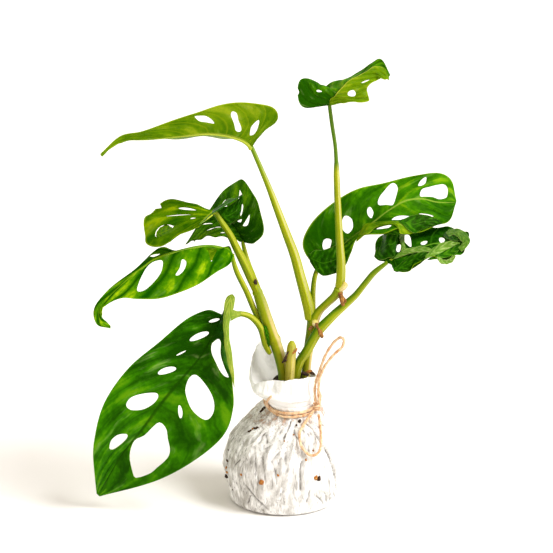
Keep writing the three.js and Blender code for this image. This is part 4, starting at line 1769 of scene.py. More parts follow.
# The curly leaf on the right: very dark between pale ribs.
RIBBED_TOP = LeafFinish(
    "curly_waxy_leaf_top", "#082c01", "#1f5a02", "#4c8a0e", "#3c7a14", "#6a9c28", "#4a8410", roughness=0.3,
    gloss=0.0, patches=0.8, vein_strength=0.4, dark_foot=0.2, side_veins=5.0, vein_rise=0.08, painted_sheen=0.04,
)
# Turned margins and lobes: dark and glossy, olive, and grey-green with painted sheen for sky light on the
# wax.
GLOSSY_FOLD = LeafFinish(
    "glossy_turned_leaf", "#0a3001", "#235e02", "#4f8a0c", "#0d3a01", "#3f7a10", "#7a9c40", roughness=0.34,
    gloss=0.12, vein_strength=0.3, dark_foot=0.0, side_veins=5.0, painted_sheen=0.14,
)
OLIVE_FOLD = LeafFinish(
    "olive_turned_leaf", "#3a6a02", "#6c8e06", "#93a814", "#557c06", "#7f9a0c", "#9cae30", roughness=0.45,
    vein_strength=0.2, dark_foot=0.0, side_veins=5.0,
)
# Painted sheen: pale grey-green that stands for sky light on the wax.
PAINTED_SHEEN_FOLD = LeafFinish(
    "painted_sheen_turned_leaf", "#3a6a12", "#6c9430", "#a3bb70", "#44741a", "#7a9c40", "#aabf70", roughness=0.4,
    gloss=0.25, patches=0.9, vein_strength=0.35, dark_foot=0.0, side_veins=5.0,
)
# Midribs: smooth and yellow-green, and greener on the young leaf.
RIB = StalkFinish("midrib_skin", "#7c9c14", "#a4b52c", "#c2c84c", "#b0bb30", "#5f8a10")
GREEN_RIB = StalkFinish("green_midrib_skin", "#2f6a04", "#5c8a0a", "#86a020", "#6c9410", "#3f7a08")
# Leaf stalks: satin, the tall ones yellower with a few brown flecks, and one with a green upper half.
STALK = StalkFinish("stalk_skin", "#467002", "#8c9a06", "#bab844", "#939a0e", "#648806")
TALL_STALK = StalkFinish(
    "tall_stalk_skin", "#6f8a02", "#a0a60c", "#cfc98a", "#98a010", "#4f8208", blemish=0.2
)
SHEATHED_STALK = replace(TALL_STALK, name="sheathed_stalk_skin", head="#3a6c08", head_span=(0.47, 0.62))
# Vines, the shoot and the buds: older skin, paler and flecked.
VINE = StalkFinish(
    "vine_skin", "#5f7c02", "#969a08", "#dcc48c", "#b4a840", "#7c9208", roughness=0.46, blemish=0.6
)
SHOOT = StalkFinish(
    "shoot_skin", "#9a9418", "#bdb24c", "#d6c880", "#c4b04c", "#9aa018", roughness=0.5, blemish=0.7
)
KNOB = StalkFinish(
    "bud_skin", "#b9b23a", "#dccf7c", "#f0dcb4", "#c9c04c", "#dcae78", roughness=0.5, blemish=0.7
)
# Roots and soil: matt and rough, orange-brown where dry and nearly black where damp.
ROOT_BARK = EarthFinish("dry_root_bark", "#5a3410", "#a8702c", "#d39a4e", crumb=1.2)
SOIL = EarthFinish("damp_potting_fibre", "#140d08", "#3c2a1c", "#7a5c3a")
DARK_BITS = EarthFinish("damp_soil_crumb", "#181009", "#4a2f18", "#8a6238", crumb=1.2)
ORANGE_BITS = EarthFinish("dry_root_crumb", "#7a4418", "#c98434", "#edb868", crumb=1.2)
# Tissue paper, white where dry, and jute, straw-coloured between orange-brown.
PAPER = TissueFinish("damp_white_tissue", "#f8f7f5", "#b0aca5", "#57504a", "#b28a6c")
JUTE = JuteFinish("spun_jute", "#f0d4ac", "#b9763a")

LEAVES = [
    LeafBlade("leaf_low_left", UpperFace.AGAINST, DARK_TOP, PALE_UNDER, RIB, [
        [-39, -14, 133, -39.7, -13.6, 133.6, -38.8, -14.6, 133.8],
        [-41, -17, 129, -49, -12, 136, -35, -26, 147],
        [-47, -21, 118, -62, -16, 132, -38, -36, 131, 0, 0, 0, 4, 3, 1],
        [-56, -26, 105, -80, -22, 118, -36, -42, 118, 0, 0, 0, 6, 4, 1],
        [-67, -30, 93, -101, -28, 101, -33, -42, 99, 0, 0, 0, 4, 2, 0],
        [-79, -32, 79, -117, -34, 79, -32, -40, 77, 0, 0, 0, 3, 0, 0],
        [-93, -32, 60, -124, -38, 54, -42, -40, 54], [-108, -29, 40, -125, -34, 32, -78, -37, 28],
        [-124, -24, 11, -125, -24, 12, -123, -24, 10],
    ], [
        Hole(-305, 142, 170, 21, -12), Hole(-344, 272, 165, 26, -13), Hole(-352, 471, 120, 21, -7),
        CutOut([
            [-592, 638], [-592, 608], [-442, 590], [-225, 583], [-133, 603], [-133, 635], [-242, 657],
            [-458, 657],
        ]),
        CutOut([[-592, 802], [-600, 765], [-475, 750], [-308, 755], [-233, 777], [-283, 802], [-442, 815]]),
        CutOut([
            [283, 280], [433, 318], [525, 390], [742, 458], [892, 503], [733, 492], [500, 440], [250, 370],
            [117, 297], [158, 280],
        ]),
        CutOut([
            [158, 475], [317, 505], [525, 560], [650, 608], [708, 650], [675, 682], [525, 670], [350, 635],
            [192, 575], [125, 520], [108, 485],
        ]),
        Hole(283, 661, 72, 10, 20),
        CutOut([
            [142, 713], [275, 733], [408, 770], [592, 807], [667, 830], [700, 860], [733, 883], [658, 910],
            [408, 895], [192, 870], [75, 838], [30, 800], [92, 775], [108, 740],
        ]),
        Hole(-420, 379, 50, 8, -20),
    ], cells=(130, 84), quilting=1.1),
    LeafBlade("leaf_mid_left", UpperFace.AGAINST, BRIGHT_TOP, YOUNG_UNDER, GREEN_RIB, [
        [-33, -4, 173, -33, -3, 173, -32, -5, 171], [-37, -7, 177, -36, 4, 176, -35, -12, 167],
        [-45, -12, 180, -46, 16, 166, -43, -22, 164], [-54, -18, 181, -57, 20, 162, -53, -32, 159],
        [-64, -24, 180, -69, 20, 165, -66, -38, 154], [-74, -30, 178, -78, 8, 175, -79, -42, 151],
        [-85, -36, 174, -86, -12, 174, -93, -44, 151], [-96, -41, 166, -96, -32, 168, -103, -46, 152],
        [-109, -46, 155, -112, -44, 156, -113, -50, 148], [-117, -50, 146, -120, -50, 147, -115, -50, 143],
        [-116, -48, 136, -119, -50, 136, -115, -44, 138], [-111, -42, 132, -111, -42, 131, -111, -42, 133],
    ], [
        CutOut([
            [142, 475], [367, 470], [567, 490], [775, 527], [767, 562], [508, 570], [208, 562], [75, 542],
            [75, 505],
        ]),
        CutOut([[242, 370], [325, 345], [492, 352], [583, 378], [550, 395], [425, 378]]),
        CutOut([[100, 233], [133, 165], [358, 182], [550, 205], [417, 217], [217, 223]]),
        CutOut([[-892, 560], [-775, 537], [-433, 508], [-300, 490], [-158, 505], [-300, 532]]),
    ], cells=(120, 60), quilting=1.3),
    LeafBlade("leaf_top_left", UpperFace.ALONG, BRIGHT_TOP, PALE_UNDER, RIB, [
        [-20, 0, 243, -19.7, -0.8, 243.6, -19.6, 0.9, 243.2], [-21, -2, 245, -16, -5, 249.5, -20, 12, 244],
        [-23, -4, 247, -9, -9, 257.5, -19, 26, 243], [-26, -6, 249, -2.6, -15, 264.8, -20, 40, 242],
        [-31, -8, 251, -7.5, -19, 272, -26, 47, 242.4], [-39, -10, 253, -22, -23, 275, -38, 48, 243.8],
        [-50, -13, 254, -40, -24, 273, -50, 42, 245.4], [-62, -15, 253, -58, -25, 268, -63, 32, 246],
        [-75, -18, 252, -76, -24, 261, -77, 18, 247], [-88, -20, 251, -90, -24, 257, -91, 2, 248.6],
        [-102, -21, 250, -104, -23, 253, -104, -12, 251], [-117, -22, 241, -117, -22, 242, -116, -22, 240],
    ], [
        CutOut([[-842, 623], [-767, 595], [-675, 575], [-342, 527], [-433, 570], [-558, 600]]),
        CutOut([[-725, 487], [-667, 465], [-442, 430], [-192, 367], [-167, 398], [-367, 443], [-575, 478]]),
        CutOut([[-608, 345], [-475, 300], [-308, 242], [-208, 268], [-342, 330], [-492, 348]]),
    ], cells=(120, 66)),
    LeafBlade("leaf_left_near", UpperFace.AGAINST, NEAR_TOP, OLIVE_UNDER, RIB, [
        [-45, 0, 201, -45.6, 0.8, 201, -44.7, 0.9, 201.1], [-46, -8, 202, -58, 8, 203, -39.5, 7.5, 204],
        [-46, -15, 202, -71, 14, 207, -32, 12, 208], [-47, -22, 202, -84, 6, 202, -26, 4, 210],
        [-48, -29, 202, -90, -6, 197, -26, -8, 204], [-49, -36, 202, -90, -20, 189, -30, -20, 201],
        [-50, -43, 202, -85, -32, 183, -36, -32, 198], [-51, -50, 202, -70, -44, 190, -44, -44, 199],
        [-52, -58, 202, -52, -58, 201, -51, -58, 202],
    ], [
        CutOut([
            [80, 400], [600, 380], [1150, 420], [1300, 700], [1100, 1080], [500, 1120], [100, 1060],
            [50, 700],
        ]),
        Hole(-490, 456, 245, 23, -5), Hole(-461, 333, 164, 20, -4), Hole(-675, 637, 161, 60, -7),
        Hole(-217, 526, 50, 20, 3), Hole(-1020, 362, 110, 20, 4, bluntness=1.3),
        Hole(-1000, 870, 50, 8, 0, bluntness=1.4),
    ], cells=(96, 66), right=(GLOSSY_FOLD, DARK_TOP), quilting=0.9, ripple=1.3),
    LeafBlade("leaf_left_far", UpperFace.ALONG, FAR_TOP, OLIVE_UNDER, RIB, [
        [-26, 14, 177, -27, 14, 177, -26, 14, 177], [-28, 17, 181, -31, 12, 179, -19, 6, 178],
        [-31, 20, 185, -36, 10, 181, -13, 2, 185], [-35, 23, 189, -43, 9, 182, -14, 6, 199],
        [-41, 26, 191, -49, 10, 182, -19, 16, 209], [-48, 27, 190, -55, 12, 180, -27, 28, 218],
        [-54, 26, 188, -59, 13, 178, -37, 36, 211], [-59, 23, 183, -60, 15.5, 178, -51, 34, 195],
        [-65, 18.5, 175.5, -65.5, 17.5, 175, -64.5, 19.5, 176],
    ], [
        CutOut([[717, 565], [642, 550], [700, 545], [758, 540], [783, 555], [800, 585]]),
        CutOut([[392, 413], [450, 417], [575, 458], [642, 487], [608, 500]]),
        CutOut([[442, 343], [317, 307], [458, 307], [592, 348], [658, 388]]),
        CutOut([[250, 593], [325, 557], [417, 598], [500, 635], [492, 650], [333, 652], [233, 647]]),
        CutOut([[292, 345], [367, 365], [350, 375], [200, 365]]),
        Hole(-519, 522, 140, 30, -43), Hole(-629, 308, 150, 30, -33), Hole(-114, 701, 170, 30, 47),
    ], cells=(90, 56)),
    LeafBlade("leaf_top_right", UpperFace.ALONG, FAR_TOP, PALE_UNDER, RIB, [
        [31, 0, 271, 30, 0, 271, 32, 0, 271], [31, -2, 274, 14, -5, 270, 38, -9, 273],
        [32, -3, 276, 10, -1, 278, 44, -13, 274], [34, -4, 277, 12, 6, 287, 49, -15, 275],
        [36, -5, 280, 22, 12, 285, 56, -14, 275], [39, -5, 283, 26, 14, 280, 55, -12, 280],
        [43, -4, 287, 34, 12, 285, 55, -10, 283], [49, -3, 290, 43, 12, 288, 59, -8, 287],
        [55, -1, 293, 52, 11, 292, 63, -7, 289], [60, 1, 296, 58, 9, 298, 64, -9, 289],
        [66, 0, 295, 65, 6, 300, 67, -10, 289], [69, -7, 290, 70, -5, 291, 69, -9, 288],
    ], [
        Hole(-408, 249, 70, 16, 5), Hole(419, 399, 130, 50, 2), Hole(658, 608, 100, 24, 15),
        Hole(-1020, 380, 100, 20, 0, bluntness=1.3), Hole(-1000, 200, 50, 20, 0, bluntness=1.4),
    ], cells=(96, 56), right=(PALE_UNDER, PALE_UNDER), quilting=0.9),
    LeafBlade("leaf_right_far", UpperFace.ALONG, MID_TOP, OLIVE_UNDER, RIB, [
        [34.4, 23, 167, 34, 22.8, 165.6, 35, 22.8, 165.6],
        [35, 23, 169.4, 29.5, 18.5, 155, 39, 20.5, 155.5, -2.6, 0, 0, 2.4, 0.6, 0],
        [36, 22, 170.4, 18, 14, 166, 44, 16, 161.5, 0, 0, 0, 0.6, 0, 0],
        [40, 19, 173, 14, 12, 178, 46, 12, 170], [46, 15, 179, 20, 12, 191, 50, 6, 180],
        [53, 12, 185, 34, 14, 204, 58, -2, 186], [62, 10, 192, 50, 16, 213, 69, -6, 187],
        [72, 9, 200, 69, 20, 217, 79, -4, 190], [82, 10, 206, 89, 22, 221, 91, 2, 186],
        [93, 13, 207, 106, 26, 223, 104, 8, 190], [105, 17, 204, 115, 28, 217, 113, 14, 192],
        [118, 22, 203, 118.3, 22.8, 204, 117.6, 21.4, 202],
    ], [
        CutOut([[-500, 300], [-458, 250], [-333, 195], [-225, 225], [-325, 310], [-450, 320]]),
        CutOut([[-517, 435], [-325, 400], [-158, 395], [-192, 438], [-375, 465], [-542, 458]]),
        CutOut([[-383, 545], [-242, 535], [-125, 542], [-225, 562], [-400, 560]]),
        CutOut([[-708, 630], [-533, 605], [-358, 595], [-233, 625], [-117, 662], [-600, 680], [-917, 662]]),
        CutOut([[-508, 780], [-617, 790], [-850, 777], [-742, 763], [-550, 763]]),
        CutOut([
            [-100, 838], [-142, 870], [-158, 915], [-358, 938], [-683, 915], [-708, 885], [-583, 853],
            [-458, 823], [-350, 792], [-92, 807],
        ]),
        Hole(490, 673, 100, 50, 23), Hole(600, 560, 150, 20, 12), Hole(583, 797, 112, 12, 14),
    ], cells=(120, 66), quilting=1.2),
    LeafBlade("leaf_right_near", UpperFace.ALONG, RIBBED_TOP, OLIVE_UNDER, RIB, [
        [70, -8, 168, 69.3, -7.3, 168, 70, -8.8, 167.6], [72, -10, 170, 64, -2, 168, 72, -14, 167],
        [75, -11, 171, 62, 4, 170, 74, -18, 164], [80, -11, 173, 64, 12, 177, 83, -20, 165],
        [86, -10, 176, 72, 20, 183, 88, -22, 169], [92, -9, 178, 86, 24, 185, 92, -22, 174],
        [100, -8, 180, 101, 24, 187, 100, -22, 173], [107, -8, 181, 111, 18, 186, 107, -20, 170],
        [114, -8, 183, 118, 8, 187, 114, -18, 174], [121, -10, 185, 123, -2, 186, 119, -16, 176],
        [122, -13, 181.5, 123, -12, 182.5, 121.3, -14, 180.5],
    ], [
        Hole(-424, 445, 293, 24, -5), Hole(-333, 346, 122, 24, -13), Hole(-183, 538, 104, 24, -3),
        Hole(-197, 679, 200, 25, 1),
    ], cells=(96, 60), quilting=-1.4, ripple=1.6),
]
STEMS = [
    Stem("vine_stem_left", "vine", VINE, ringed([0.52, 0.93], 0.17), [
        [2, 2, 62, 3.4], [1.6, 2, 75, 3.5], [0.9, 2, 89.6, 3.7], [-2.3, 1.5, 103.8, 3.9],
        [-7.1, 1, 117.2, 4], [-11.2, 0, 129.3, 4], [-14.7, 0, 140.7, 3.7], [-18.4, -0.2, 151.2, 2.2],
    ]),
    Stem("vine_stem_right", "vine", VINE, ringed([0.5, 0.9], 0.14), [
        [15.8, 5, 62, 2.7], [16.1, 5, 76, 2.8], [16.6, 4.8, 88.8, 2.9], [17.9, 4, 103.2, 3.2],
        [19.6, 2.8, 116, 3.4], [21.2, 2, 125, 3.8], [25, 2, 132, 2.8], [30, 1, 137.6, 2.6],
        [35, 0.4, 142.6, 2.8], [38, 0, 147, 3.1], [39.5, -0.5, 149.5, 1.8],
    ]),
    Stem("young_shoot", "vine", SHOOT, channelled(0.3, 0.9), [
        [4.2, -6, 62, 2.7], [4.6, -6, 78, 2.8], [5.2, -6, 91.9, 3], [5.7, -6, 101.6, 3.1],
        [6.4, -6, 110, 2.8], [6.8, -6, 113.6, 1.2],
    ]),
    Stem("stalk_low_left", "stalk", STALK, channelled(0.2, 0.35), [
        [-8, 0.4, 102.6, 1.6], [-11.3, -1.6, 110, 2.1], [-14.5, -4.4, 122, 2.1], [-20.6, -8, 130.4, 2],
        [-27.7, -11, 133.5, 1.8], [-33.3, -13, 133.1, 1.6], [-38.2, -13.9, 132.9, 1.3], [-39, -14, 133, 1.2],
    ]),
    Stem("stalk_mid_left", "stalk", STALK, channelled(0.2, 0.4), [
        [-9, 1.6, 107, 1.3], [-14, 1.6, 122, 1.8], [-19.4, 0, 135.1, 1.9], [-24, -2, 147, 1.9],
        [-29.4, -3, 158.4, 1.8], [-31.6, -3.6, 164.6, 1.6], [-32.8, -4, 169.8, 1.3], [-33, -4, 173, 1.2],
    ]),
    Stem("stalk_left_near", "stalk", STALK, channelled(0.34, 0.75), [
        [-15.6, -0.3, 143.6, 2.6], [-19.8, -0.6, 153.4, 3.1], [-25.4, -0.6, 165.7, 2.9],
        [-30.1, 0, 174.8, 2.5], [-34.7, 0, 184.4, 2.2], [-40.9, 0, 194.2, 1.9], [-44.6, 0, 200.3, 1.5],
        [-45, 0, 201, 1.2],
    ]),
    Stem("stalk_left_far", "stalk", STALK, channelled(0.2, 0.4), [
        [-15.4, 4.2, 141, 1.3], [-17.6, 5.4, 149, 1.6], [-19.6, 6.4, 156, 1.7], [-22.3, 8.5, 162.8, 1.6],
        [-24.6, 11.5, 169.6, 1.5], [-26.3, 13.6, 176.2, 1.3], [-26, 14, 177, 1.2],
    ]),
    Stem("stalk_top_left", "stalk", TALL_STALK, channelled(0.34, 0.6), [
        [18.6, 2, 125.4, 3], [17.6, 2, 134.5, 3.5], [14.5, 2, 146.8, 3.4], [11.7, 2, 157.1, 3.2],
        [8, 2, 170.8, 3], [3, 1, 184.6, 2.7], [-4.4, 0, 205, 2.3], [-8.7, 0, 216.4, 1.9],
        [-13.9, 0, 229, 1.6], [-19.7, -0.1, 242.5, 1.4], [-20, 0, 243, 1.2],
    ]),
    Stem("stalk_top_right", "stalk", SHEATHED_STALK, channelled(0.34, 0.5), [
        [38.2, 0, 148, 2.8], [39.1, 0, 155.5, 2.9], [39.2, 0, 166.4, 2.7], [38.1, 0, 181.4, 2.4],
        [36.5, 0, 209.7, 2], [35.9, 0, 224, 1.9], [35.8, 0, 230.5, 1.7], [35.6, 0, 235, 1.3],
        [34.8, 0, 244.9, 1.2], [32.7, 0, 258.1, 1.25], [31, 0, 270.1, 1.2], [31, 0, 271, 1.2],
    ]),
    Stem("stalk_right_far", "stalk", STALK, channelled(0.2, 0.4), [
        [21.4, 6, 122, 1.6], [20.9, 8.6, 134, 1.8], [21.1, 12, 144.6, 1.7], [22.5, 17, 153.2, 1.6],
        [25.3, 21, 158.9, 1.5], [29.2, 24.4, 162, 1.4], [32.8, 24.5, 164.9, 1.2], [34.4, 23, 167, 1.2],
    ]),
    Stem("stalk_right_near", "stalk", STALK, channelled(0.3, 0.55), [
        [8.8, -2, 62, 2.4], [8.9, -2, 78, 2.6], [9.7, -2.5, 90.2, 2.7], [12.2, -3.5, 99.2, 2.8],
        [16.5, -5, 106.3, 3], [24, -5.6, 120, 3.1], [32.8, -4, 129.3, 2.9], [41.4, -2, 136.8, 2.6],
        [49.1, -2, 144, 2.2], [55.2, -3, 152.1, 2], [61.1, -5, 160, 1.9], [68.3, -7.9, 166.7, 1.4],
        [70, -8, 168, 1.2],
    ]),
]
FOLDS = [
    Fold("leaf_low_left_margin", PALE_FOLD, 0.8, [
        [-33.9, -25.5, 149.8, -32.4, -26, 150.2], [-36.6, -27, 147.9, -30.8, -28, 148.1],
        [-37.8, -31, 142.8, -31.5, -31.5, 142.9], [-38.2, -37, 134.3, -34, -37, 134.3],
        [-37.8, -40.4, 127, -34.5, -40, 126.9], [-37.2, -43, 120.3, -33.5, -42.4, 120.2],
        [-35.6, -43.8, 110.5, -32.1, -43.4, 110.4], [-33.4, -43.6, 101.1, -31.3, -43.2, 101],
        [-31.4, -42.8, 92.1, -31.1, -42.6, 92],
    ]),
    Fold("stalk_low_left_web", PALE_FOLD, 0.6, [
        [-32.4, -28.6, 140.5, -33.6, -33.6, 134], [-30.1, -22, 138, -30.3, -24, 133.7],
        [-27.6, -15, 135.8, -27.6, -15.6, 132.6],
    ]),
    # A dark wedge of painted shadow on the right side of the low left stalk.
    Fold("stalk_low_left_sheath", GLOSSY_FOLD, 0.4, [
        [-12.6, -5, 124, -10.2, -4.8, 123.5], [-11.6, -4.8, 118.7, -9, -4.8, 118],
        [-10.5, -4.2, 113.7, -8.5, -4.4, 113], [-9.4, -3.8, 109.1, -8.5, -3.8, 108.7],
    ]),
    Fold("leaf_right_far_foot", GLOSSY_FOLD, 0.6, [
        [18.6, 13.6, 169.2, 18.9, 14.1, 163.6], [22.4, 14.7, 171.7, 22.8, 15.5, 157.7],
        [27.2, 16.5, 171.4, 27.7, 17.1, 153.5], [31.9, 17.2, 172.6, 32.5, 18.3, 153.7],
        [36.7, 16.7, 174.8, 37.4, 19.9, 155.1], [40, 16.5, 175.5, 40.6, 19.7, 159.6],
    ]),
    Fold("leaf_right_far_lobe", GLOSSY_FOLD, 0.8, [
        [77.4, -1.1, 194.1, 77.4, -1.5, 193.8], [79.8, 0.8, 195, 79.6, -2.3, 192.6],
        [84, 3.4, 196.3, 83.5, -3.5, 189.2], [88.4, 5.2, 197.4, 88.3, -1.2, 186.2],
        [92.9, 6.4, 197.6, 92.9, 1.9, 188.1], [97.7, 7.3, 196.6, 97.5, 3.8, 189.4],
        [102.5, 8.1, 194.7, 102.3, 5.5, 190.1], [107.1, 8.1, 191.2, 107.1, 8, 190.7],
    ]),
    Fold("leaf_right_far_turned", OLIVE_FOLD, 0.6, [
        [49.8, 5.1, 179.6, 50, 4.9, 179.2], [52.1, 7.9, 184.3, 53.3, 0.8, 183.3],
        [54.8, 10.3, 188.7, 57.4, -2.5, 186.4], [59.1, 9.5, 191.3, 62.3, 2.4, 189.2],
        [66.1, 4.4, 192.9, 67.8, 0.4, 191.3], [74.4, 0, 194.2, 73.9, -2.4, 192.3],
        [78.3, -1.3, 193.2, 77, -5.9, 189.9], [82.3, -2, 190.9, 78.4, -6.1, 186.9],
        [88.3, -0.6, 186.2, 84.3, -2.7, 185.7],
    ]),
    Fold("leaf_right_far_band", GLOSSY_FOLD, 0.4, [
        [56.3, 0.5, 185.9, 56.3, 0.5, 185.3], [59.9, 0.5, 187, 59.9, 0.5, 185.3],
        [65.2, 0.5, 188.6, 65.3, 0.5, 185.2], [71.9, 1, 189.4, 72, 1, 185], [77.2, 1, 190, 78, 1, 185],
        [80.6, 1, 187.6, 80.9, 1, 186.6],
    ]),
    Fold("leaf_right_near_foot", GLOSSY_FOLD, 0.8, [
        [61.7, 1.9, 169.9, 61.9, 1.3, 169.6], [63.6, 6.1, 174.4, 63.9, -1.9, 169.2],
        [66.8, 11.8, 179.2, 66.6, -5.8, 169.1], [69.8, 4, 186.3, 70.9, -7.9, 171],
        [73.5, 4, 186.5, 74.4, -9.2, 172.3], [77.9, 4, 186.3, 76.9, 2.6, 178.8],
    ]),
    Fold("leaf_right_near_panel", PAINTED_SHEEN_FOLD, 0.6, [
        [73.9, -11.4, 171.4, 74.2, -12.3, 171.1], [77.7, -8.5, 174.4, 78.4, -12.4, 172.8],
        [81.2, -6.2, 176.9, 82.3, -12.5, 174.1], [85.3, -8.4, 177.4, 86.2, -13.4, 175.2],
        [90.5, -8.5, 178.7, 90.5, -16.3, 176.2], [94.9, -11.4, 178.8, 95, -17.3, 176.7],
        [98.9, -14.7, 177.8, 98.8, -15.5, 177.5],
    ]),
    Fold("leaf_right_near_strip", PAINTED_SHEEN_FOLD, 0.5, [
        [79.3, 13.5, 183.2, 82.8, 12.5, 183.3], [78.8, 5.8, 181, 82.1, 4.8, 181.2],
        [79.2, -0.7, 178.8, 81.8, -2, 179], [79, -6.2, 176.5, 82, -8.1, 176.8],
        [79, -9.1, 175, 83, -11.8, 175.5],
    ]),
    Fold("leaf_right_near_lobe", GLOSSY_FOLD, 1.2, [
        [72.9, -19, 165, 73.2, -19, 164.4], [75.1, -17.5, 166.7, 75.4, -19, 163.6],
        [78.8, -16.2, 169.2, 79.3, -19, 164.5], [84.1, -14.9, 173.1, 84.6, -19, 165.4],
        [89.2, -16.2, 175.6, 89.3, -20, 168.5], [93, -17.5, 176.6, 92.9, -23.3, 172.5],
        [95.5, -19.5, 176.1, 95.3, -20.7, 175.7],
    ]),
    Fold("leaf_right_near_curl", PAINTED_SHEEN_FOLD, 0.9, [
        [92.7, -23.8, 173.2, 93, -23.9, 172.6], [94.6, -21.5, 175.8, 95.4, -23.9, 173.9],
        [99.5, -14.2, 178.6, 99.9, -21.2, 175], [104.5, -10.3, 180.9, 105, -16, 176.3],
        [110.1, -9.9, 182.4, 110.7, -14.1, 178.8], [113.9, -11.5, 182.3, 114, -13.5, 180.5],
        [117, -13.3, 182, 117, -13.6, 181.6],
    ]),
    Fold("leaf_right_near_shade", GLOSSY_FOLD, 0.4, [
        [94.8, -23.1, 172.8, 94.9, -23.1, 172.3], [99.3, -20.6, 174.9, 99.1, -23.1, 172.8],
        [104.4, -15, 176.5, 104, -20.2, 173], [109.9, -12.8, 178.8, 110.1, -18.2, 173.8],
        [113.9, -12.3, 180.6, 114.3, -17.6, 176], [117.6, -14, 180.3, 117.6, -14.5, 179.7],
    ]),
    Fold("leaf_right_near_hem", PAINTED_SHEEN_FOLD, -0.8, [
        [101, -21.6, 174.1, 103.7, -19.7, 173.7], [102.7, -22.8, 171.3, 105.3, -20.4, 172.2],
        [107.2, -21.6, 169.4, 107.8, -20.2, 171.8], [111.5, -20.6, 170.7, 110.2, -19.8, 172.9],
        [113.7, -19.5, 174.4, 111.6, -18.4, 174.8],
    ]),
    Fold("leaf_right_near_tip", PAINTED_SHEEN_FOLD, 1.4, [
        [109.8, 6.8, 184.9, 110.7, -1.2, 184], [113.1, 10.9, 186.5, 113.7, -1.4, 185],
        [116.9, 6.8, 187.7, 116, -7.1, 184.9], [120.5, 0.7, 187.6, 117.2, -11.2, 183.7],
        [122.9, -7, 185.8, 118.4, -12.7, 182.7], [123.5, -13.6, 183.3, 118.5, -13.4, 181.9],
        [121.2, -16.1, 179.7, 117.6, -14.3, 180.5], [117.6, -17.2, 176.9, 115.5, -15, 179.2],
    ]),
    Fold("leaf_right_near_hollow", GLOSSY_FOLD, -0.6, [
        [107.9, 3.6, 183.9, 107.8, 2.5, 183.7], [110.6, 9.3, 185.4, 109.2, -3.2, 183.1],
        [113.1, 5.1, 185.5, 111.9, -8.9, 182.8], [115.3, -4.3, 184.9, 115, -10.3, 182.9],
        [116.6, -10.4, 183.6, 116.6, -10.7, 183.2],
    ]),
    Fold("leaf_left_near_turned", GLOSSY_FOLD, 1.6, [
        [-43.7, 3, 200, -43.5, 3, 199], [-42.2, 3, 200.9, -41.1, 3, 195],
        [-39.3, 3.4, 202.7, -36.3, 3.4, 191.9], [-34.9, 4, 204.1, -33.1, 4, 192.6],
        [-30.9, 4.4, 206.7, -29, 4.4, 196], [-28, 5, 209.2, -27.1, 5, 202.1],
        [-26.7, 5, 210, -26.3, 5, 208.2],
    ]),
    Fold("leaf_left_near_window", OLIVE_FOLD, 0.4, [
        [-81.9, -24.9, 188.8, -81.6, -26, 188.3], [-81, -21.4, 191.7, -79.5, -28.2, 188],
        [-78.3, -19.8, 194, -75.9, -31.8, 188.5], [-75, -20.2, 195.3, -72.8, -33, 189.9],
        [-72.7, -23.9, 194.8, -71, -30.2, 192.5], [-70.3, -28.1, 194.1, -70.1, -29.4, 193.6],
    ]),
]
STUBS = [
    Stubs("aerial_root_upper_live", ROOT_BARK, ["aerial_root_upper"], [
        [
            [38.6, -1.2, 146.6, 1.6], [39.6, -4.4, 143.4, 1.7], [40.4, -5.8, 140, 1.4],
            [41.1, -6.6, 137.4, 0.9],
        ],
        [[40.6, -1.6, 142.6, 0.9], [42.3, -3, 140.6, 1.1], [43, -3.4, 138.5, 0.7]],
    ]),
    Stubs("aerial_root_lower_live", ROOT_BARK, ["aerial_root_lower"], [
        [[22.8, -3.4, 125.6, 1.2], [24.6, -7.2, 122.2, 1.5], [26, -8.4, 119, 1.4], [27.2, -8.6, 116, 1]],
        [[20.2, -2.2, 122.8, 0.8], [19, -3.8, 121.6, 1.1], [17.8, -3.8, 120.4, 0.7]],
    ]),
    Stubs("root_threads", DARK_BITS, [], [
        [[17.6, -4, 92, 0.9], [20, -6, 91.2, 1.1], [22.4, -6.6, 90, 0.6]],
        [[13.4, -6.5, 91.8, 0.9], [15.6, -7, 90.8, 1.3], [18.4, -7.2, 90, 0.9]],
        [[-17.4, -3.4, 155.4, 0.6], [-17.8, -4.4, 153.8, 1.2], [-17, -3.8, 151.8, 0.7]],
        [[10.6, -8.6, 106.4, 0.3], [11.4, -8.4, 105.6, 0.5], [12.2, -8, 104.8, 0.3]],
        [[4.4, -8.8, 107.4, 0.4], [2.9, -8.8, 103.9, 0.7], [1.6, -8, 101, 0.8], [0, -6.4, 98, 0.5]],
        [[3.4, -8.8, 101.4, 0.4], [2.2, -8.4, 100.2, 0.6], [0.8, -7.4, 99.6, 0.4]],
    ]),
    Stubs("orange_root_threads", ORANGE_BITS, [], [
        [[10.3, -7.6, 109, 0.5], [8.8, -9, 107, 0.8], [6.8, -9.3, 105.4, 0.5]],
        [[16.4, -5.5, 91.6, 0.7], [18.6, -6, 92.4, 0.9], [20.6, -6, 92.6, 0.5]],
    ]),
    Stubs("vine_buds", KNOB, [], [
        [[37.6, -0.6, 146, 1.6], [40, -1.2, 148.8, 2.3], [42.4, -1.8, 151.4, 2.1], [43.4, -2, 152.4, 1.3]],
        [[20.6, -1.4, 124.6, 2], [22.6, -2, 124.8, 2.6], [24.6, -2, 124.6, 1.6]],
    ], slot="vine", gnarl=0.16),
]

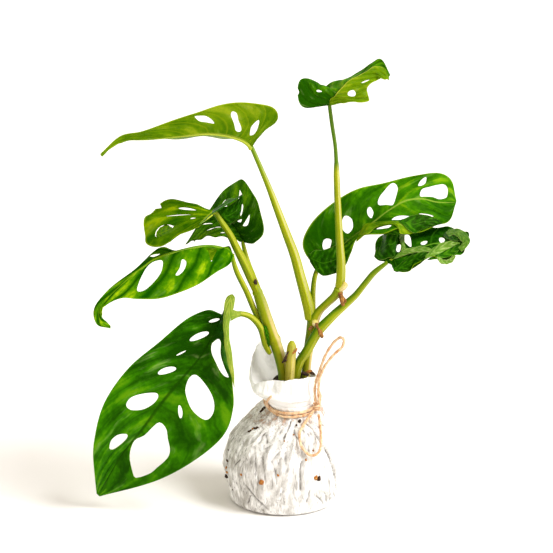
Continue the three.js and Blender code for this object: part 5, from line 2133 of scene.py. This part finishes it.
SOIL_LEVELS = [
    [1.5, 28, 1.5, 0], [6, 34, 1.5, 0], [28, 36.5, 0, 0], [50, 29, 2, 0.05], [65.5, 16.5, 6, 0.2],
    [74, 14.6, 7, 0.3], [84, 14, 7.6, 0.2],
]
WRAP_LEVELS = [
    [0, 33.5, 1.5, 0], [3, 37.2, 1.5, 0], [12, 39.2, 1.5, 0], [20, 40.3, 0.8, 0], [28, 40.5, 0, 0],
    [40, 38, 0.8, 0], [50, 33, 2, 0.05], [59, 26.5, 4, 0.15], [65.5, 20.5, 6, 0.27], [71.5, 17.4, 7, 0.32],
    [77, 19.4, 4.6, 0.3], [82, 22.3, 1, 0.25], [87, 22.2, 0.4, 0.15], [91, 21.4, 0.4, 0.12],
]
# The rim stands higher behind and on the left, and lower at the knot: degrees round from +X, and millimetres.
WRAP_RIM = [
    [0, -4], [50, 1], [95, 6], [128, 14], [148, 13], [166, 6], [187, -5], [208, -5], [235, 0], [270, 1.5],
    [305, 2], [335, -1], [360, -4],
]
# Folds that the photograph shows, each a row of what a crease says of itself.
WRAP_FOLDS = [
    [-1.62, 68, 50, 0.02, 0.8, -3.6], [-1.45, 62, 50, 0.24, 0.9, -3], [-1.7, 70, 30, -0.2, 2.2, 1.8],
    [-1.3, 70, 8, -0.3, 2.2, 2.0], [-1.1, 70, 4, -0.2, 1.9, 1.9], [-0.98, 66, 26, 0.1, 1.6, 1.6],
    [-0.9, 60, 10, 0.55, 1.1, -2.2], [-0.8, 62, 8, 0.5, 2.2, 1.6], [-2.05, 68, 40, -0.3, 2.4, 1.6],
    [-0.7, 24, 3, 0.1, 0.9, -1.5], [-0.6, 20, 4, 0.2, 0.8, -1.2], [-0.5, 27, 8, 0.12, 0.8, -1.4],
    [-0.42, 18, 5, 0.2, 0.8, -1.2], [-0.85, 16, 3, 0.2, 0.9, -1.2], [-0.34, 34, 14, 0.3, 0.9, -1.5],
    [-1.0, 14, 3, 0.25, 0.9, -1.2], [-0.62, 44, 24, 0.3, 1.0, -1.5], [-1.12, 66, 58, 0.24, 0.8, -1.6],
    [-2.3, 22, 2, 0.5, 1.0, -1.4], [-1.95, 44, 20, 0.1, 1.0, -1.2], [-1.22, 40, 16, -0.1, 0.9, -1.6],
]
DARK_SPOTS = [
    [24.6, 25.4, 3.2, 2.6, 0.2, 1.2], [-37.4, 20.4, 4.4, 2.6, 1.4, 1.2], [-37, 31.9, 4.6, 1.2, 1.5, 0.8],
    [-21.5, 53.4, 4.2, 1.5, 2.6, 0.8], [-17.4, 56.2, 4.2, 1.6, 2.7, 0.8], [-13.6, 64.6, 4.4, 1.8, 0.4, 1],
    [-11.6, 66.4, 3.4, 1.2, 1.8, 0.8], [11.7, 61.9, 3, 2.2, 1.2, 1], [9.6, 59.4, 2, 1.2, 1.2, 0.6],
    [-36.4, 38.1, 2, 1, 1.3, 0.5], [-33.4, 12.4, 1.4, 0.8, 1.3, 0.4],
]
ORANGE_SPOTS = [
    [-14.3, 24.9, 3.4, 3, 0.4, 1.1], [-27.4, 27.1, 2.2, 1.6, 1.2, 0.6], [22.8, 26.6, 3, 2.4, 0.2, 1],
    [-2.9, 30.5, 1.8, 1.4, 0.9, 0.5], [16.1, 40.4, 1.9, 1.2, 0.5, 0.5], [-37.6, 27, 2, 1.6, 0.3, 0.8],
    [-37.4, 24.4, 1.8, 1.4, 0.3, 0.8], [-19.4, 55, 2.6, 1.4, 2.4, 0.8], [7.9, 54.6, 1.4, 1, 2.2, 0.5],
    [1.6, 51.6, 1.4, 1, 1.2, 0.4], [20.8, 44.6, 1.6, 1.2, 0.4, 0.5],
]
LOOPS = {
    "twine_loop_upper": [
        [22.6, -14.6, 73.1], [21.9, -15.4, 81.3], [22.8, -15, 88.1], [25.4, -13.5, 95.4], [28.1, -12, 102.9],
        [31.4, -11, 109.2], [35.2, -10.5, 114.3], [39, -11.5, 117.3], [41.3, -13, 115.6], [40, -14.5, 111.5],
        [35, -15.5, 107], [30.3, -16.3, 101.5], [27.2, -17, 96.3], [25, -17.6, 90.3], [24.4, -17.4, 82.1],
        [24.9, -15, 72.8],
    ],
    "twine_loop_lower": [
        [21.2, -16.2, 68], [18.6, -20.6, 65.3], [15, -24.8, 61.6], [11.6, -29.6, 55.6], [13.2, -35.6, 48.4],
        [19.1, -37.4, 43.6], [24.5, -35.4, 45.4], [25.9, -29.4, 52.5], [25.2, -22.8, 61.7],
        [24.6, -16.8, 65.6],
    ],
}
TIE_END = [
    [-9.4, -10.6, 68.4], [-10.3, -15.4, 72.4], [-9.9, -19, 75.4], [-8.6, -21.4, 77.9], [-7, -22.6, 80],
]


def save_sizes() -> None:
    """Reads the box of the solids and the box of the dressed part, and keeps neither."""
    boxes = {"solids": solid_box, "dressed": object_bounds()}
    {name: [list(corner) for corner in box] for name, box in boxes.items()}


def main() -> None:
    """Builds the scene, piece by piece."""
    logging.basicConfig(level=logging.INFO, format="%(name)s: %(message)s")
    bpy.context.scene.view_settings.view_transform = "Standard"
    PhotoCamera().build()
    StudioLight().build()
    StudioFloor(WHITE_FLOOR).build()
    TwineTie(LOOPS, TIE_END, JUTE).build()
    creases = [Crease(*row) for row in WRAP_FOLDS]
    wrap = TissueWrap(WRAP_LEVELS, WRAP_RIM, creases, PAPER).build()
    Crumbs("soil_crumbs", DARK_SPOTS, DARK_BITS).build(wrap)
    Crumbs("root_crumbs", ORANGE_SPOTS, ORANGE_BITS).build(wrap)
    RootBall(SOIL_LEVELS, SOIL).build()
    for piece in STEMS + STUBS:
        piece.build()
    for leaf in LEAVES:
        hand_over(leaf.build(), "leaf", [leaf.name])
    for fold in FOLDS:
        hand_over(fold.build(), "leaf", [])
    save_sizes()


if __name__ == "__main__":
    main()
